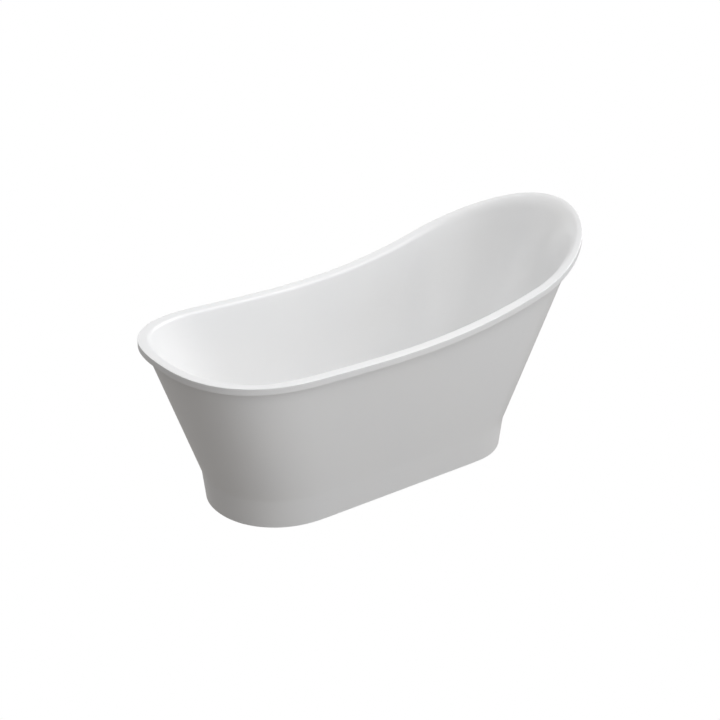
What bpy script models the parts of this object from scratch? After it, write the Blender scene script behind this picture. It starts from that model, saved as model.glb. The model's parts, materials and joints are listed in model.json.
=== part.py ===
"""Freestanding single-slipper bathtub, as an assembly of its real pieces.

Metres, +Z up. The origin is on the floor under the middle of the rim, +X runs to the raised
head end and -X to the foot end, where the drain and the overflow are. The bath is built from
plan outlines: each shell is a loft through rings of points that share one numbering, so the
shells stay parallel to each other. Under them are a steel frame on five levelling feet, a
push-open drain, an overflow and a bottle trap.
"""

import math

import bmesh
import bpy
from mathutils import Matrix, Vector
from mathutils.geometry import interpolate_bezier

# Rim, as seen from above and from the side
LENGTH = 1.700
WIDTH = 0.720
RIM_LOW = 0.583  # height of the rim's lowest point
RIM_LOW_X = -0.150
FOOT_RISE = 0.033  # how far the rim climbs from there to the foot end
HEAD_RISE = 0.229  # and to the head end
FOOT_CURVE = 1.6  # powers of the two climbs
HEAD_CURVE = 2.27
RIM_WIDTH = 0.041
RIM_LIP = 0.0235  # height of the turned-down edge
RIM_EDGE = 0.0030  # rounding of the rim's outer corner
RIM_FILLET = 0.012  # rounding where the rim rolls into the inside wall
HEAD_FILLET = 0.018  # how much that rounding grows by the head end
HEAD_FILLET_X = 0.150  # where it starts to grow
APRON_RECESS = 0.0220  # how far the apron stands back from the rim's edge

# Sheet thicknesses and the clearance between touching pieces
ACRYLIC = 0.005
LAMINATE = 0.004
APRON_SHEET = 0.004
GAP = 0.0003

# Outlines: half width, foot end x, foot cap length, head end x, head cap length, cap powers
RIM_OUTLINE = (WIDTH / 2, -LENGTH / 2, 0.375, LENGTH / 2, 0.400, 2.5, 2.0)
CREASE_OUTLINE = (0.263, -0.667, 0.276, 0.5265, 0.236, 2.1, 2.0)
KNEE_OUTLINE = (0.215, -0.555, 0.200, 0.450, 0.360, 2.2, 2.2)
FLOOR_OUTLINE = (0.150, -0.512, 0.142, 0.350, 0.260, 2.2, 2.2)
FILLET_MIDDLE = (0.72, 0.22)  # the roll into the wall, across and down in shares of its radius
FILLET_END = (1.25, 1.0)
CREASE_HEIGHT = 0.110
CREASE_ROUND = 0.006  # half height of the softened crease
APRON_BREAK = 0.013  # where the crease's softening ends, as a share of the way to the rim
PLINTH_TAPER = 0.0125  # how far the plinth draws in towards the floor
SHADOW_GAP = 0.001  # between the plinth and the floor
FLOOR_LEVEL = 0.130  # where a bather stands
KNEE_PULL = 0.62  # Bezier handle shares that shape the inside wall
WALL_PULL = 0.66
LAMINATE_TOP_ROW = 5  # the laminate stops this many rows up the wall

# Steps around and up the shells
CAP_STEPS = 10
SIDE_STEPS = 8
WALL_STEPS = 6
APRON_STEPS = 3

# Support frame
BOARD_THICKNESS = 0.015
BOARD_X = (-0.385, 0.330)
BOARD_WIDTH = 0.300
TUBE = 0.025
TUBE_WALL = 0.0015
RAIL_X = (-0.345, 0.300)
RAIL_Y = 0.110
CROSSBAR_X = {"foot": -0.300, "middle": -0.020, "head": 0.255}
CROSSBAR_HALF = 0.243
BLOCK_Y = (0.203, 0.2542)
BLOCK_WIDTH = 0.060
BLOCK_HEIGHT = 0.030

# Levelling feet
FOOT_Y = 0.175
STUD_RADIUS = 0.006
STUD_LENGTH = 0.080
PAD_RADIUS = 0.025
PAD_HUB_RADIUS = 0.011
NUT_ACROSS_FLATS = 0.019
NUT_HEIGHT = 0.008
HOLE_CLEARANCE = 0.0004

# Screws
SCREW_RADIUS = 0.0022
SCREW_HEAD_RADIUS = 0.0045
SCREW_HEAD_HEIGHT = 0.002
RAIL_SCREW_X = (-0.170, 0.150)
SCREW_BITE = 0.010  # depth of thread in wood

# Drain and trap
DRAIN_X = -0.455
DRAIN_HOLE_RADIUS = 0.026
DRAIN_SEAT_RADIUS = 0.0375
DRAIN_SEAT_DEPTH = 0.003
SEAL_BORE = 0.0262  # of the rubber seals round the drain and the overflow
SEAL_THICKNESS = 0.003
FLANGE_SEAL_THICKNESS = 0.0015
FLANGE_RADIUS = 0.035
FLANGE_THICKNESS = 0.0025
NECK_RADIUS = 0.0225  # the flange's threaded neck
NECK_BORE = 0.0195
NECK_BOTTOM = 0.102
HUB_RADIUS = 0.0095  # held in the neck by crossed spokes
HUB_BORE = 0.0070
HUB_TOP = 0.112
SPOKE_HALF_WIDTH = 0.0012
PLUG_RADIUS = 0.0315
PLUG_HEIGHT = 0.006
PLUG_NECK = 0.005  # how far its neck reaches down to the plunger
PLUG_NECK_RADIUS = 0.006
PLUG_SEAL_RADII = (0.025, 0.030)
PLUG_SEAL_THICKNESS = 0.002
PLUNGER_RADIUS = 0.0026
PLUNGER_FOOT_RADIUS = 0.0042
PLUNGER_SPAN = (0.101, 0.103)  # from under its foot to over it
CARTRIDGE_RADIUS = 0.0066
CARTRIDGE_BORE = 0.0048
CARTRIDGE_MOUTH = 0.0031
CARTRIDGE_BOTTOM = 0.085
CARTRIDGE_RISE = 0.0035  # above the hub
SPRING_SPAN = (0.0875, 0.1004)
SPRING_RADIUS = 0.0037
SPRING_WIRE = 0.0004
SPRING_TURNS = 4
STEPS_PER_TURN = 10
SHOE_BORE = 0.0245
SHOE_RADIUS = 0.0275
DIP_BORE = 0.0165  # the tube that dips into the trap
DIP_RADIUS = 0.0190
DIP_BOTTOM = 0.015
TRAP_RADIUS = 0.042
TRAP_BOTTOM = 0.006
TRAP_TOP = 0.058
TRAP_WALL = 0.0025
TRAP_NECK_RADIUS = 0.025
TRAP_NECK_BORE = 0.020
TRAP_NECK_TOP = 0.066
OUTLET_RADIUS = 0.016
OUTLET_HEIGHT = 0.040
OUTLET_END_X = -0.368
SHOE_PORT_HEIGHT = 0.090

# Overflow, on the inside of the foot wall
OVERFLOW_HEIGHT = 0.450
OVERFLOW_HOLE_RADIUS = 0.0245
OVERFLOW_SEAT_RADIUS = 0.0345
PIPE_DEPTH = 0.0268  # the pipe's axis behind the inside wall
PIPE_RADIUS = 0.010
PIPE_WALL = 0.0013
PIPE_ENTRY = 0.016  # how far it goes into the spigot at each end
SPIGOT_RADIUS = 0.0120
SPIGOT_BORE = 0.0103
UNION_RADIUS = 0.0148
COVER_RADIUS = 0.033
COVER_HEIGHT = 0.012
COVER_SHEET = 0.0025
COVER_SLOT = ((0.020, -0.013), (0.040, 0.013))  # on the side of the cover that faces down
COVER_SLOT_DEPTH = 0.0042
ELBOW_RADIUS = 0.0265
ELBOW_BORE = 0.0240
ELBOW_FLANGE_RADIUS = 0.034
ELBOW_BAR = (0.005, 0.0255, 0.005)  # half width, half length, thickness
SHOE_PORT_END = 0.060  # from the drain's axis
ELBOW_SPIGOT_END = 0.048  # from the overflow's axis

ROUND_STEPS = 20
SMALL_STEPS = 12

# Levels that follow from the sizes above
SEAT_LEVEL = FLOOR_LEVEL - DRAIN_SEAT_DEPTH
UNDERSIDE = FLOOR_LEVEL - ACRYLIC - GAP - LAMINATE
BOARD_TOP = UNDERSIDE - GAP
RAIL_TOP = BOARD_TOP - BOARD_THICKNESS - GAP
CROSSBAR_TOP = RAIL_TOP - TUBE - GAP
CROSSBAR_BOTTOM = CROSSBAR_TOP - TUBE
NUT_TOP = CROSSBAR_BOTTOM - GAP
PAD_TOP = NUT_TOP - NUT_HEIGHT - GAP

FEET = [
    (CROSSBAR_X["foot"], -FOOT_Y),
    (CROSSBAR_X["foot"], FOOT_Y),
    (CROSSBAR_X["head"], -FOOT_Y),
    (CROSSBAR_X["head"], FOOT_Y),
    (CROSSBAR_X["middle"], 0.0),
]
BLOCKS = [(CROSSBAR_X[bar], side) for bar in ("foot", "head") for side in (-1, 1)]
RAIL_SCREWS = [(x, side * RAIL_Y) for x in RAIL_SCREW_X for side in (-1, 1)]

# Colour, roughness, metallic
FINISHES = {
    "acrylic": ((0.86, 0.86, 0.86), 0.18, 0.0),
    "laminate": ((0.72, 0.70, 0.62), 0.75, 0.0),
    "chipboard": ((0.62, 0.47, 0.30), 0.85, 0.0),
    "softwood": ((0.70, 0.54, 0.34), 0.80, 0.0),
    "galvanised": ((0.58, 0.60, 0.62), 0.42, 1.0),
    "zinc": ((0.70, 0.71, 0.72), 0.32, 1.0),
    "chrome": ((0.85, 0.86, 0.87), 0.08, 1.0),
    "brass": ((0.74, 0.58, 0.30), 0.30, 1.0),
    "spring_steel": ((0.55, 0.56, 0.58), 0.30, 1.0),
    "rubber": ((0.04, 0.04, 0.04), 0.85, 0.0),
    "white_plastic": ((0.80, 0.80, 0.78), 0.45, 0.0),
    "black_plastic": ((0.05, 0.05, 0.055), 0.55, 0.0),
}


# ---------------------------------------------------------------- scene and materials


def clear_scene():
    for obj in list(bpy.data.objects):
        bpy.data.objects.remove(obj)


def new_collection(name):
    collection = bpy.data.collections.new(name)
    bpy.context.scene.collection.children.link(collection)
    return collection


def finish_material(name):
    """The Principled material of that finish, made once."""
    if name in bpy.data.materials:
        return bpy.data.materials[name]
    colour, roughness, metallic = FINISHES[name]
    material = bpy.data.materials.new(name)
    material.use_nodes = True
    shader = material.node_tree.nodes["Principled BSDF"]
    shader.inputs["Base Color"].default_value = (*colour, 1.0)
    shader.inputs["Roughness"].default_value = roughness
    shader.inputs["Metallic"].default_value = metallic
    return material


def new_empty(name, place):
    """An empty that other pieces are placed on."""
    empty = bpy.data.objects.new(name, None)
    empty.location = place
    bpy.data.collections["bathtub"].objects.link(empty)
    return empty


def add_object(name, mesh, finish=None, parent=None, place=(0, 0, 0)):
    """Links a mesh as one sub-part, or as a cutter when it has no finish."""
    obj = bpy.data.objects.new(name, mesh)
    obj.location = place
    obj.parent = parent
    if finish:
        mesh.materials.append(finish_material(finish))
        mesh.shade_smooth()
        mesh.set_sharp_from_angle(angle=math.radians(35))
        bpy.data.collections["bathtub"].objects.link(obj)
    else:
        obj.hide_render = True
        obj.display_type = "WIRE"
        bpy.data.collections["cutters"].objects.link(obj)
    return obj


# ---------------------------------------------------------------- shapes


def mesh_from_bmesh(name, bm):
    bmesh.ops.recalc_face_normals(bm, faces=bm.faces)
    mesh = bpy.data.meshes.new(name)
    bm.to_mesh(mesh)
    bm.free()
    return mesh


def box_mesh(name, low, high):
    """An axis-aligned box between two corners."""
    size = [b - a for a, b in zip(low, high)]
    centre = [(a + b) / 2 for a, b in zip(low, high)]
    bm = bmesh.new()
    bmesh.ops.create_cube(bm, size=1.0, matrix=Matrix.Translation(centre) @ Matrix.Diagonal((*size, 1)))
    return mesh_from_bmesh(name, bm)


def cylinder_mesh(name, radius, bottom, top, steps=ROUND_STEPS, top_radius=None):
    """A cylinder or cone on the Z axis."""
    bm = bmesh.new()
    bmesh.ops.create_cone(
        bm,
        cap_ends=True,
        segments=steps,
        radius1=radius,
        radius2=radius if top_radius is None else top_radius,
        depth=top - bottom,
        matrix=Matrix.Translation((0, 0, (top + bottom) / 2)),
    )
    return mesh_from_bmesh(name, bm)


def turned(name, profile, finish, steps=ROUND_STEPS, parent=None, place=(0, 0, 0)):
    """A turned piece. The profile is (radius, height) pairs, down the outside first. It closes on
    itself when it never touches the axis, which makes a ring."""
    ring = all(radius > 0 for radius, _ in profile)
    count = len(profile)
    edges = [(i, (i + 1) % count) for i in range(count if ring else count - 1)]
    mesh = bpy.data.meshes.new(name)
    mesh.from_pydata([(radius, 0, height) for radius, height in profile], edges, [])
    obj = add_object(name, mesh, finish, parent, place)
    screw = obj.modifiers.new("turn", "SCREW")
    screw.steps = steps
    screw.render_steps = steps
    screw.use_merge_vertices = True
    screw.merge_threshold = 0.00001
    return obj


def cylinder_cutter(name, radius, bottom, top, steps=ROUND_STEPS, parent=None, place=(0, 0, 0)):
    return add_object(name, cylinder_mesh(name, radius, bottom, top, steps), None, parent, place)


def combine(obj, other, operation):
    """A Boolean that joins or cuts obj by other, which is a helper."""
    boolean = obj.modifiers.new(other.name, "BOOLEAN")
    boolean.operation = operation
    boolean.solver = "EXACT"
    boolean.object = other
    return obj


def cut(obj, *cutters):
    for cutter in cutters:
        combine(obj, cutter, "DIFFERENCE")
    return obj


def join(obj, *others):
    for other in others:
        combine(obj, other, "UNION")
    return obj


def tube_mesh(name, points, radius, wall=0.0, sides=2):
    """A round tube along points, hollow when it has a wall. Its ends are open until Solidify
    closes them, and capped when it is solid."""
    curve = bpy.data.curves.new(name, "CURVE")
    curve.dimensions = "3D"
    curve.bevel_depth = radius
    curve.bevel_resolution = sides
    curve.use_fill_caps = wall == 0.0
    spline = curve.splines.new("POLY")
    spline.points.add(len(points) - 1)
    for point, place in zip(spline.points, points):
        point.co = (*place, 1)
    guide = bpy.data.objects.new(name, curve)
    bpy.context.scene.collection.objects.link(guide)
    graph = bpy.context.evaluated_depsgraph_get()
    mesh = bpy.data.meshes.new_from_object(guide.evaluated_get(graph))
    bpy.data.objects.remove(guide)
    bm = bmesh.new()
    bm.from_mesh(mesh)
    bmesh.ops.remove_doubles(bm, verts=bm.verts, dist=0.00001)
    return mesh_from_bmesh(name, bm)


def loft_mesh(name, rings, closed=False):
    """Skins rings that share one numbering. It ends in flat faces, or when it is closed the last
    ring meets the first. Every square is split along the diagonal that climbs away from the head,
    so that shells nested in each other have matching facets."""
    bm = bmesh.new()
    rows = [[bm.verts.new(point) for point in ring] for ring in rings]
    count = len(rows[0])
    pairs = list(zip(rows, rows[1:])) + ([(rows[-1], rows[0])] if closed else [])
    for row, next_row in pairs:
        low, high = (row, next_row) if row[0].co.z < next_row[0].co.z else (next_row, row)
        for i in range(count):
            j = (i + 1) % count
            near, far = (i, j) if i < count // 2 else (j, i)
            bm.faces.new((low[near], low[far], high[far]))
            bm.faces.new((low[near], high[far], high[near]))
    if not closed:
        bm.faces.new(rows[0])
        bm.faces.new(rows[-1])
    return mesh_from_bmesh(name, bm)


# ---------------------------------------------------------------- outlines and rings


def quarter_cap(length, half_width, power):
    """A quarter superellipse from the tip (length, 0) round to (0, half_width)."""
    angles = [math.pi / 2 * step / CAP_STEPS for step in range(CAP_STEPS)]
    curve = [
        (length * math.cos(angle) ** (2 / power), half_width * math.sin(angle) ** (2 / power))
        for angle in angles
    ]
    return curve + [(0.0, half_width)]


def outline(half_width, foot_x, foot_cap, head_x, head_cap, foot_power, head_power):
    """A closed outline of (x, y) pairs: two caps and straight sides. It starts at the head's tip,
    runs along +Y to the foot's tip, and comes back along -Y."""
    head_start = head_x - head_cap
    foot_start = foot_x + foot_cap
    head = [(head_start + x, y) for x, y in quarter_cap(head_cap, half_width, head_power)]
    foot = [(foot_start - x, y) for x, y in quarter_cap(foot_cap, half_width, foot_power)]
    span = foot_start - head_start
    side = [(head_start + span * step / SIDE_STEPS, half_width) for step in range(1, SIDE_STEPS)]
    half = head + side + foot[::-1]
    return half + [(x, -y) for x, y in half[-2:0:-1]]


def inset_each(points, distances):
    """The outline moved inwards, each point by its own distance, with mitred corners."""
    moved = []
    for i, (point, distance) in enumerate(zip(points, distances)):
        here = Vector(point)
        before = (here - Vector(points[i - 1])).normalized()
        after = (Vector(points[(i + 1) % len(points)]) - here).normalized()
        inward = Vector((-before.y - after.y, before.x + after.x)).normalized()
        mitre = max(0.5, inward.dot(Vector((-after.y, after.x))))
        moved.append(tuple(here + inward * distance / mitre))
    return moved


def inset(points, distance):
    return inset_each(points, [distance] * len(points))


def rim_height(x):
    """The rim's top from the side: a low point, a short climb to the foot and a long one to the head."""
    if x < RIM_LOW_X:
        return RIM_LOW + FOOT_RISE * ((RIM_LOW_X - x) / (LENGTH / 2 + RIM_LOW_X)) ** FOOT_CURVE
    return RIM_LOW + HEAD_RISE * ((x - RIM_LOW_X) / (LENGTH / 2 - RIM_LOW_X)) ** HEAD_CURVE


def level_ring(points, height):
    return [Vector((x, y, height)) for x, y in points]


def rim_ring(distance, drop):
    """A ring that follows the rim, in from its edge and down from its top."""
    return [Vector((x, y, rim_height(x) - drop)) for x, y in inset(outline(*RIM_OUTLINE), distance)]


def fillet_radius(x):
    """Radius of the roll from the rim into the inside wall. It grows towards the head."""
    toward_head = max(0.0, (x - HEAD_FILLET_X) / (LENGTH / 2 - HEAD_FILLET_X))
    return RIM_FILLET + HEAD_FILLET * toward_head**2


def fillet_ring(across, down, depth=0.0):
    """A ring on that roll, its place across and down given in shares of the radius, or that deep
    below it."""
    points = outline(*RIM_OUTLINE)
    radii = [fillet_radius(x) for x, _ in points]
    moved = inset_each(points, [RIM_WIDTH + (across - 1) * radius for radius in radii])
    return [
        Vector((x, y, rim_height(x) - down * radius - depth)) for (x, y), radius in zip(moved, radii)
    ]


def wall_rings():
    """The inside of the basin, from the edge of its flat floor up to the rim's fillet."""
    floor = level_ring(outline(*FLOOR_OUTLINE), FLOOR_LEVEL)
    knee = level_ring(outline(*KNEE_OUTLINE), FLOOR_LEVEL)
    top = fillet_ring(*FILLET_END)
    columns = [
        interpolate_bezier(a, a.lerp(k, KNEE_PULL), b.lerp(k, WALL_PULL), b, WALL_STEPS + 1)
        for a, k, b in zip(floor, knee, top)
    ]
    return [list(ring) for ring in zip(*columns)]


def outward(rings, distance):
    """The rings moved out of the basin along its normals. The floor's edge moves straight down."""
    count = len(rings[0])
    moved = []
    for row, ring in enumerate(rings):
        below = rings[max(row - 1, 0)]
        above = rings[min(row + 1, len(rings) - 1)]
        new_ring = []
        for i, point in enumerate(ring):
            around = ring[(i + 1) % count] - ring[i - 1]
            normal = around.cross(above[i] - below[i]).normalized() if row else Vector((0, 0, -1))
            new_ring.append(point + normal * distance)
        moved.append(new_ring)
    return moved


# ---------------------------------------------------------------- shells


def drain_axis_cutters():
    hole = cylinder_cutter("drain_hole", DRAIN_HOLE_RADIUS, 0.09, 0.16, place=(DRAIN_X, 0, 0))
    seat = cylinder_cutter("drain_seat", DRAIN_SEAT_RADIUS, SEAT_LEVEL, 0.16, place=(DRAIN_X, 0, 0))
    return hole, seat


def overflow_frame():
    """An empty on the inside of the foot wall. Its Z axis points into the bath along the overflow,
    and its X axis points down the wall."""
    tip = CAP_STEPS * 2 + SIDE_STEPS
    column = [ring[tip] for ring in wall_rings()]
    upper = next(i for i, point in enumerate(column) if point.z > OVERFLOW_HEIGHT)
    low, high = column[upper - 1], column[upper]
    slope = high - low
    frame = new_empty("overflow_frame", low.lerp(high, (OVERFLOW_HEIGHT - low.z) / slope.z))
    frame.rotation_euler = (0, math.atan2(slope.z, -slope.x), 0)
    return frame


def build_basin(*cutters):
    """Acrylic inner shell: floor, walls, rim and turned-down lip."""
    walls = wall_rings()
    rim = [
        fillet_ring(*FILLET_MIDDLE),
        fillet_ring(0, 0),
        rim_ring(RIM_EDGE, 0),
        rim_ring(RIM_EDGE / 3, RIM_EDGE / 10),
        rim_ring(0, RIM_EDGE),
        rim_ring(0, RIM_LIP),
        rim_ring(ACRYLIC, RIM_LIP),
        rim_ring(ACRYLIC, ACRYLIC),
        fillet_ring(0, 0, ACRYLIC),
        fillet_ring(*FILLET_MIDDLE, ACRYLIC),
    ]
    mesh = loft_mesh("basin", walls + rim + outward(walls, ACRYLIC)[::-1])
    return cut(add_object("basin", mesh, "acrylic"), *cutters)


def build_laminate(*cutters):
    """Glass-fibre laminate on the back of the basin's floor and walls."""
    walls = wall_rings()
    inner = outward(walls, ACRYLIC + GAP)[: LAMINATE_TOP_ROW + 1]
    outer = outward(walls, ACRYLIC + GAP + LAMINATE)[: LAMINATE_TOP_ROW + 1]
    mesh = loft_mesh("basin_laminate", inner + outer[::-1])
    return cut(add_object("basin_laminate", mesh, "laminate"), *cutters)


def build_apron():
    """Outer skirt: a flange under the rim's lip, the tapering body and the plinth, in one sheet."""
    crease = outline(*CREASE_OUTLINE)
    top = rim_ring(APRON_RECESS, RIM_LIP)

    def body_ring(share, depth):
        """A ring between the crease and the rim, on the outer face or that far inside it."""
        low = level_ring(crease, CREASE_HEIGHT)
        face = [c.lerp(t, share) for c, t in zip(low, top)]
        moved = inset([(point.x, point.y) for point in face], depth)
        return [Vector((x, y, point.z)) for (x, y), point in zip(moved, face)]

    def plinth_ring(height, depth):
        taper = PLINTH_TAPER * (CREASE_HEIGHT - height) / CREASE_HEIGHT
        return level_ring(inset(crease, taper + depth), height)

    shares = [1 - (1 - APRON_BREAK) * step / APRON_STEPS for step in range(1, APRON_STEPS + 1)]
    flange = [rim_ring(ACRYLIC + GAP, RIM_LIP - APRON_SHEET), rim_ring(ACRYLIC + GAP, RIM_LIP), top]
    outer = [body_ring(share, 0) for share in shares]
    plinth = [
        plinth_ring(CREASE_HEIGHT - CREASE_ROUND, 0),
        plinth_ring(SHADOW_GAP, 0),
        plinth_ring(SHADOW_GAP, APRON_SHEET),
        plinth_ring(CREASE_HEIGHT - CREASE_ROUND, APRON_SHEET),
    ]
    inner = [body_ring(share, APRON_SHEET) for share in shares[::-1]]
    under_flange = rim_ring(APRON_RECESS + APRON_SHEET, RIM_LIP - APRON_SHEET)
    rings = flange + outer + plinth + inner + [under_flange]
    return add_object("apron", loft_mesh("apron", rings, closed=True), "acrylic")


# ---------------------------------------------------------------- support frame


def hole(name, radius, place, bottom, top, steps=SMALL_STEPS):
    return cylinder_cutter(name, radius + HOLE_CLEARANCE, bottom, top, steps, place=place)


def square_tube(name, low, high, along):
    """A square steel tube with open ends, along axis 0 or 1."""
    obj = add_object(name, box_mesh(name, low, high), "galvanised")
    inner_low = [v + TUBE_WALL for v in low]
    inner_high = [v - TUBE_WALL for v in high]
    inner_low[along] = low[along] - TUBE
    inner_high[along] = high[along] + TUBE
    return cut(obj, add_object(name + "_bore", box_mesh(name + "_bore", inner_low, inner_high)))


def build_board():
    """Chipboard panel that spreads the load under the floor, bored for the rail screws."""
    low = (BOARD_X[0], -BOARD_WIDTH / 2, BOARD_TOP - BOARD_THICKNESS)
    high = (BOARD_X[1], BOARD_WIDTH / 2, BOARD_TOP)
    board = add_object("baseboard", box_mesh("baseboard", low, high), "chipboard")
    bore_top = low[2] + SCREW_BITE + GAP
    for i, (x, y) in enumerate(RAIL_SCREWS, 1):
        cut(board, hole(f"board_bore_{i}", SCREW_RADIUS, (x, y, 0), low[2] - 0.01, bore_top))
    return board


def build_rails():
    for side, name in ((-1, "frame_rail_right"), (1, "frame_rail_left")):
        y = side * RAIL_Y
        low = [RAIL_X[0], y - TUBE / 2, RAIL_TOP - TUBE]
        high = [RAIL_X[1], y + TUBE / 2, RAIL_TOP]
        rail = square_tube(name, low, high, 0)
        for i, (x, screw_y) in enumerate(RAIL_SCREWS, 1):
            if screw_y == y:
                cut(rail, hole(f"rail_bore_{i}", SCREW_RADIUS, (x, y, 0), low[2] - 0.01, high[2] + 0.01))


def build_crossbars():
    for bar, x in CROSSBAR_X.items():
        low = [x - TUBE / 2, -CROSSBAR_HALF, CROSSBAR_BOTTOM]
        high = [x + TUBE / 2, CROSSBAR_HALF, CROSSBAR_TOP]
        crossbar = square_tube(f"frame_crossbar_{bar}", low, high, 1)
        span = (low[2] - 0.01, high[2] + 0.01)
        for i, (foot_x, y) in enumerate(FEET, 1):
            if foot_x == x:
                cut(crossbar, hole(f"stud_bore_{i}", STUD_RADIUS, (x, y, 0), *span))
        for i, (block_x, side) in enumerate(BLOCKS, 1):
            if block_x == x:
                place = (x, side * sum(BLOCK_Y) / 2, 0)
                cut(crossbar, hole(f"bar_bore_{i}", SCREW_RADIUS, place, *span))


def build_block(number, x, side):
    """Softwood block bonded inside the plinth, its outer face leaning with the plinth wall."""
    bottom = CROSSBAR_TOP + GAP
    lean = PLINTH_TAPER / CREASE_HEIGHT * BLOCK_HEIGHT
    section = [
        (BLOCK_Y[0], bottom),
        (BLOCK_Y[1], bottom),
        (BLOCK_Y[1] + lean, bottom + BLOCK_HEIGHT),
        (BLOCK_Y[0], bottom + BLOCK_HEIGHT),
    ]
    ends = [
        [Vector((x + end * BLOCK_WIDTH / 2, side * y, z)) for y, z in section] for end in (-1, 1)
    ]
    name = f"apron_block_{number}"
    block = add_object(name, loft_mesh(name, ends), "softwood")
    place = (x, side * sum(BLOCK_Y) / 2, 0)
    bore = hole(f"block_bore_{number}", SCREW_RADIUS, place, bottom - 0.01, bottom + SCREW_BITE + GAP)
    return cut(block, bore)


def build_screw(name, place, shoulder, tip, parent=None):
    """A pan-head screw along Z. Its head sits on the far side of its shoulder from its tip."""
    step = math.copysign(1, shoulder - tip)
    profile = [
        (0, tip),
        (SCREW_RADIUS, tip + step * SCREW_RADIUS),
        (SCREW_RADIUS, shoulder),
        (SCREW_HEAD_RADIUS, shoulder),
        (SCREW_HEAD_RADIUS * 0.9, shoulder + step * SCREW_HEAD_HEIGHT * 0.7),
        (SCREW_HEAD_RADIUS * 0.5, shoulder + step * SCREW_HEAD_HEIGHT),
        (0, shoulder + step * SCREW_HEAD_HEIGHT),
    ]
    return turned(name, profile[::-1] if step > 0 else profile, "zinc", SMALL_STEPS, parent, place)


def build_frame():
    build_board()
    build_rails()
    build_crossbars()
    for number, (x, side) in enumerate(BLOCKS, 1):
        build_block(number, x, side)
        place = (x, side * sum(BLOCK_Y) / 2, 0)
        build_screw(f"block_screw_{number}", place, CROSSBAR_BOTTOM - GAP, CROSSBAR_TOP + SCREW_BITE)
    board_bottom = BOARD_TOP - BOARD_THICKNESS
    for number, (x, y) in enumerate(RAIL_SCREWS, 1):
        build_screw(f"rail_screw_{number}", (x, y, 0), RAIL_TOP - TUBE - GAP, board_bottom + SCREW_BITE)


# ---------------------------------------------------------------- levelling feet


def build_foot(number, x, y):
    """A plastic pad with a steel stud screwed into the crossbar, and its locknut."""
    foot = new_empty(f"foot_{number}", (x, y, 0))
    socket = PAD_TOP - 0.026
    stud_bottom = socket + GAP
    turned(
        f"foot_pad_{number}",
        [
            (PAD_HUB_RADIUS, PAD_TOP),
            (PAD_HUB_RADIUS, 0.012),
            (PAD_RADIUS, 0.006),
            (PAD_RADIUS, 0.0),
            (0, 0.0),
            (0, socket),
            (STUD_RADIUS + HOLE_CLEARANCE, socket),
            (STUD_RADIUS + HOLE_CLEARANCE, PAD_TOP),
            (PAD_HUB_RADIUS, PAD_TOP),
        ],
        "black_plastic",
        parent=foot,
    )
    turned(
        f"foot_stud_{number}",
        [
            (0, stud_bottom + STUD_LENGTH),
            (STUD_RADIUS * 0.8, stud_bottom + STUD_LENGTH),
            (STUD_RADIUS, stud_bottom + STUD_LENGTH - 0.0015),
            (STUD_RADIUS, stud_bottom),
            (0, stud_bottom),
        ],
        "zinc",
        SMALL_STEPS,
        parent=foot,
    )
    name = f"foot_locknut_{number}"
    corner = NUT_ACROSS_FLATS / math.sqrt(3)
    nut = add_object(name, cylinder_mesh(name, corner, NUT_TOP - NUT_HEIGHT, NUT_TOP, 6), "zinc", foot)
    bore = cylinder_cutter(
        name + "_bore", STUD_RADIUS + HOLE_CLEARANCE, 0.02, NUT_TOP + 0.01, SMALL_STEPS, foot
    )
    cut(nut, bore)


# ---------------------------------------------------------------- drain and trap


def ring_profile(inner, outer, bottom, top):
    return [(outer, top), (outer, bottom), (inner, bottom), (inner, top)]


def build_drain():
    """Push-open drain: chrome flange and plug, click cartridge, seals, shoe and bottle trap."""
    axis = new_empty("drain_axis", (DRAIN_X, 0, 0))
    seal_bottom = SEAT_LEVEL + GAP
    seal_top = seal_bottom + FLANGE_SEAL_THICKNESS
    disc_bottom = seal_top + GAP
    disc_top = disc_bottom + FLANGE_THICKNESS
    bevel = FLANGE_THICKNESS / 3
    seal = ring_profile(SEAL_BORE, FLANGE_RADIUS - 0.001, seal_bottom, seal_top)
    turned("drain_seal_upper", seal, "rubber", parent=axis)
    flange = turned(
        "drain_flange",
        [
            (FLANGE_RADIUS - bevel / 2, disc_top - bevel),
            (FLANGE_RADIUS, disc_bottom),
            (NECK_RADIUS, disc_bottom),
            (NECK_RADIUS, NECK_BOTTOM),
            (NECK_BORE, NECK_BOTTOM),
            (NECK_BORE, disc_bottom - 0.002),
            (NECK_RADIUS + 0.001, disc_top - bevel),
            (NECK_RADIUS + 0.002, disc_top),
            (FLANGE_RADIUS - 0.0015, disc_top),
        ],
        "chrome",
        parent=axis,
    )
    hub = cylinder_cutter("flange_hub", HUB_RADIUS, NECK_BOTTOM, HUB_TOP, ROUND_STEPS, axis)
    spoke_low = (-NECK_BORE - 0.001, -SPOKE_HALF_WIDTH, NECK_BOTTOM + 0.001)
    spoke_high = (NECK_BORE + 0.001, SPOKE_HALF_WIDTH, HUB_TOP - 0.001)
    spokes = [
        add_object(name, box_mesh(name, spoke_low, spoke_high), None, axis)
        for name in ("flange_spoke_1", "flange_spoke_2")
    ]
    spokes[1].rotation_euler = (0, 0, math.pi / 2)
    join(flange, hub, *spokes)
    cut(flange, cylinder_cutter("flange_hub_bore", HUB_BORE, 0.09, 0.12, ROUND_STEPS, axis))
    build_plug(axis, disc_top)
    build_shoe_and_trap(axis)


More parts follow.
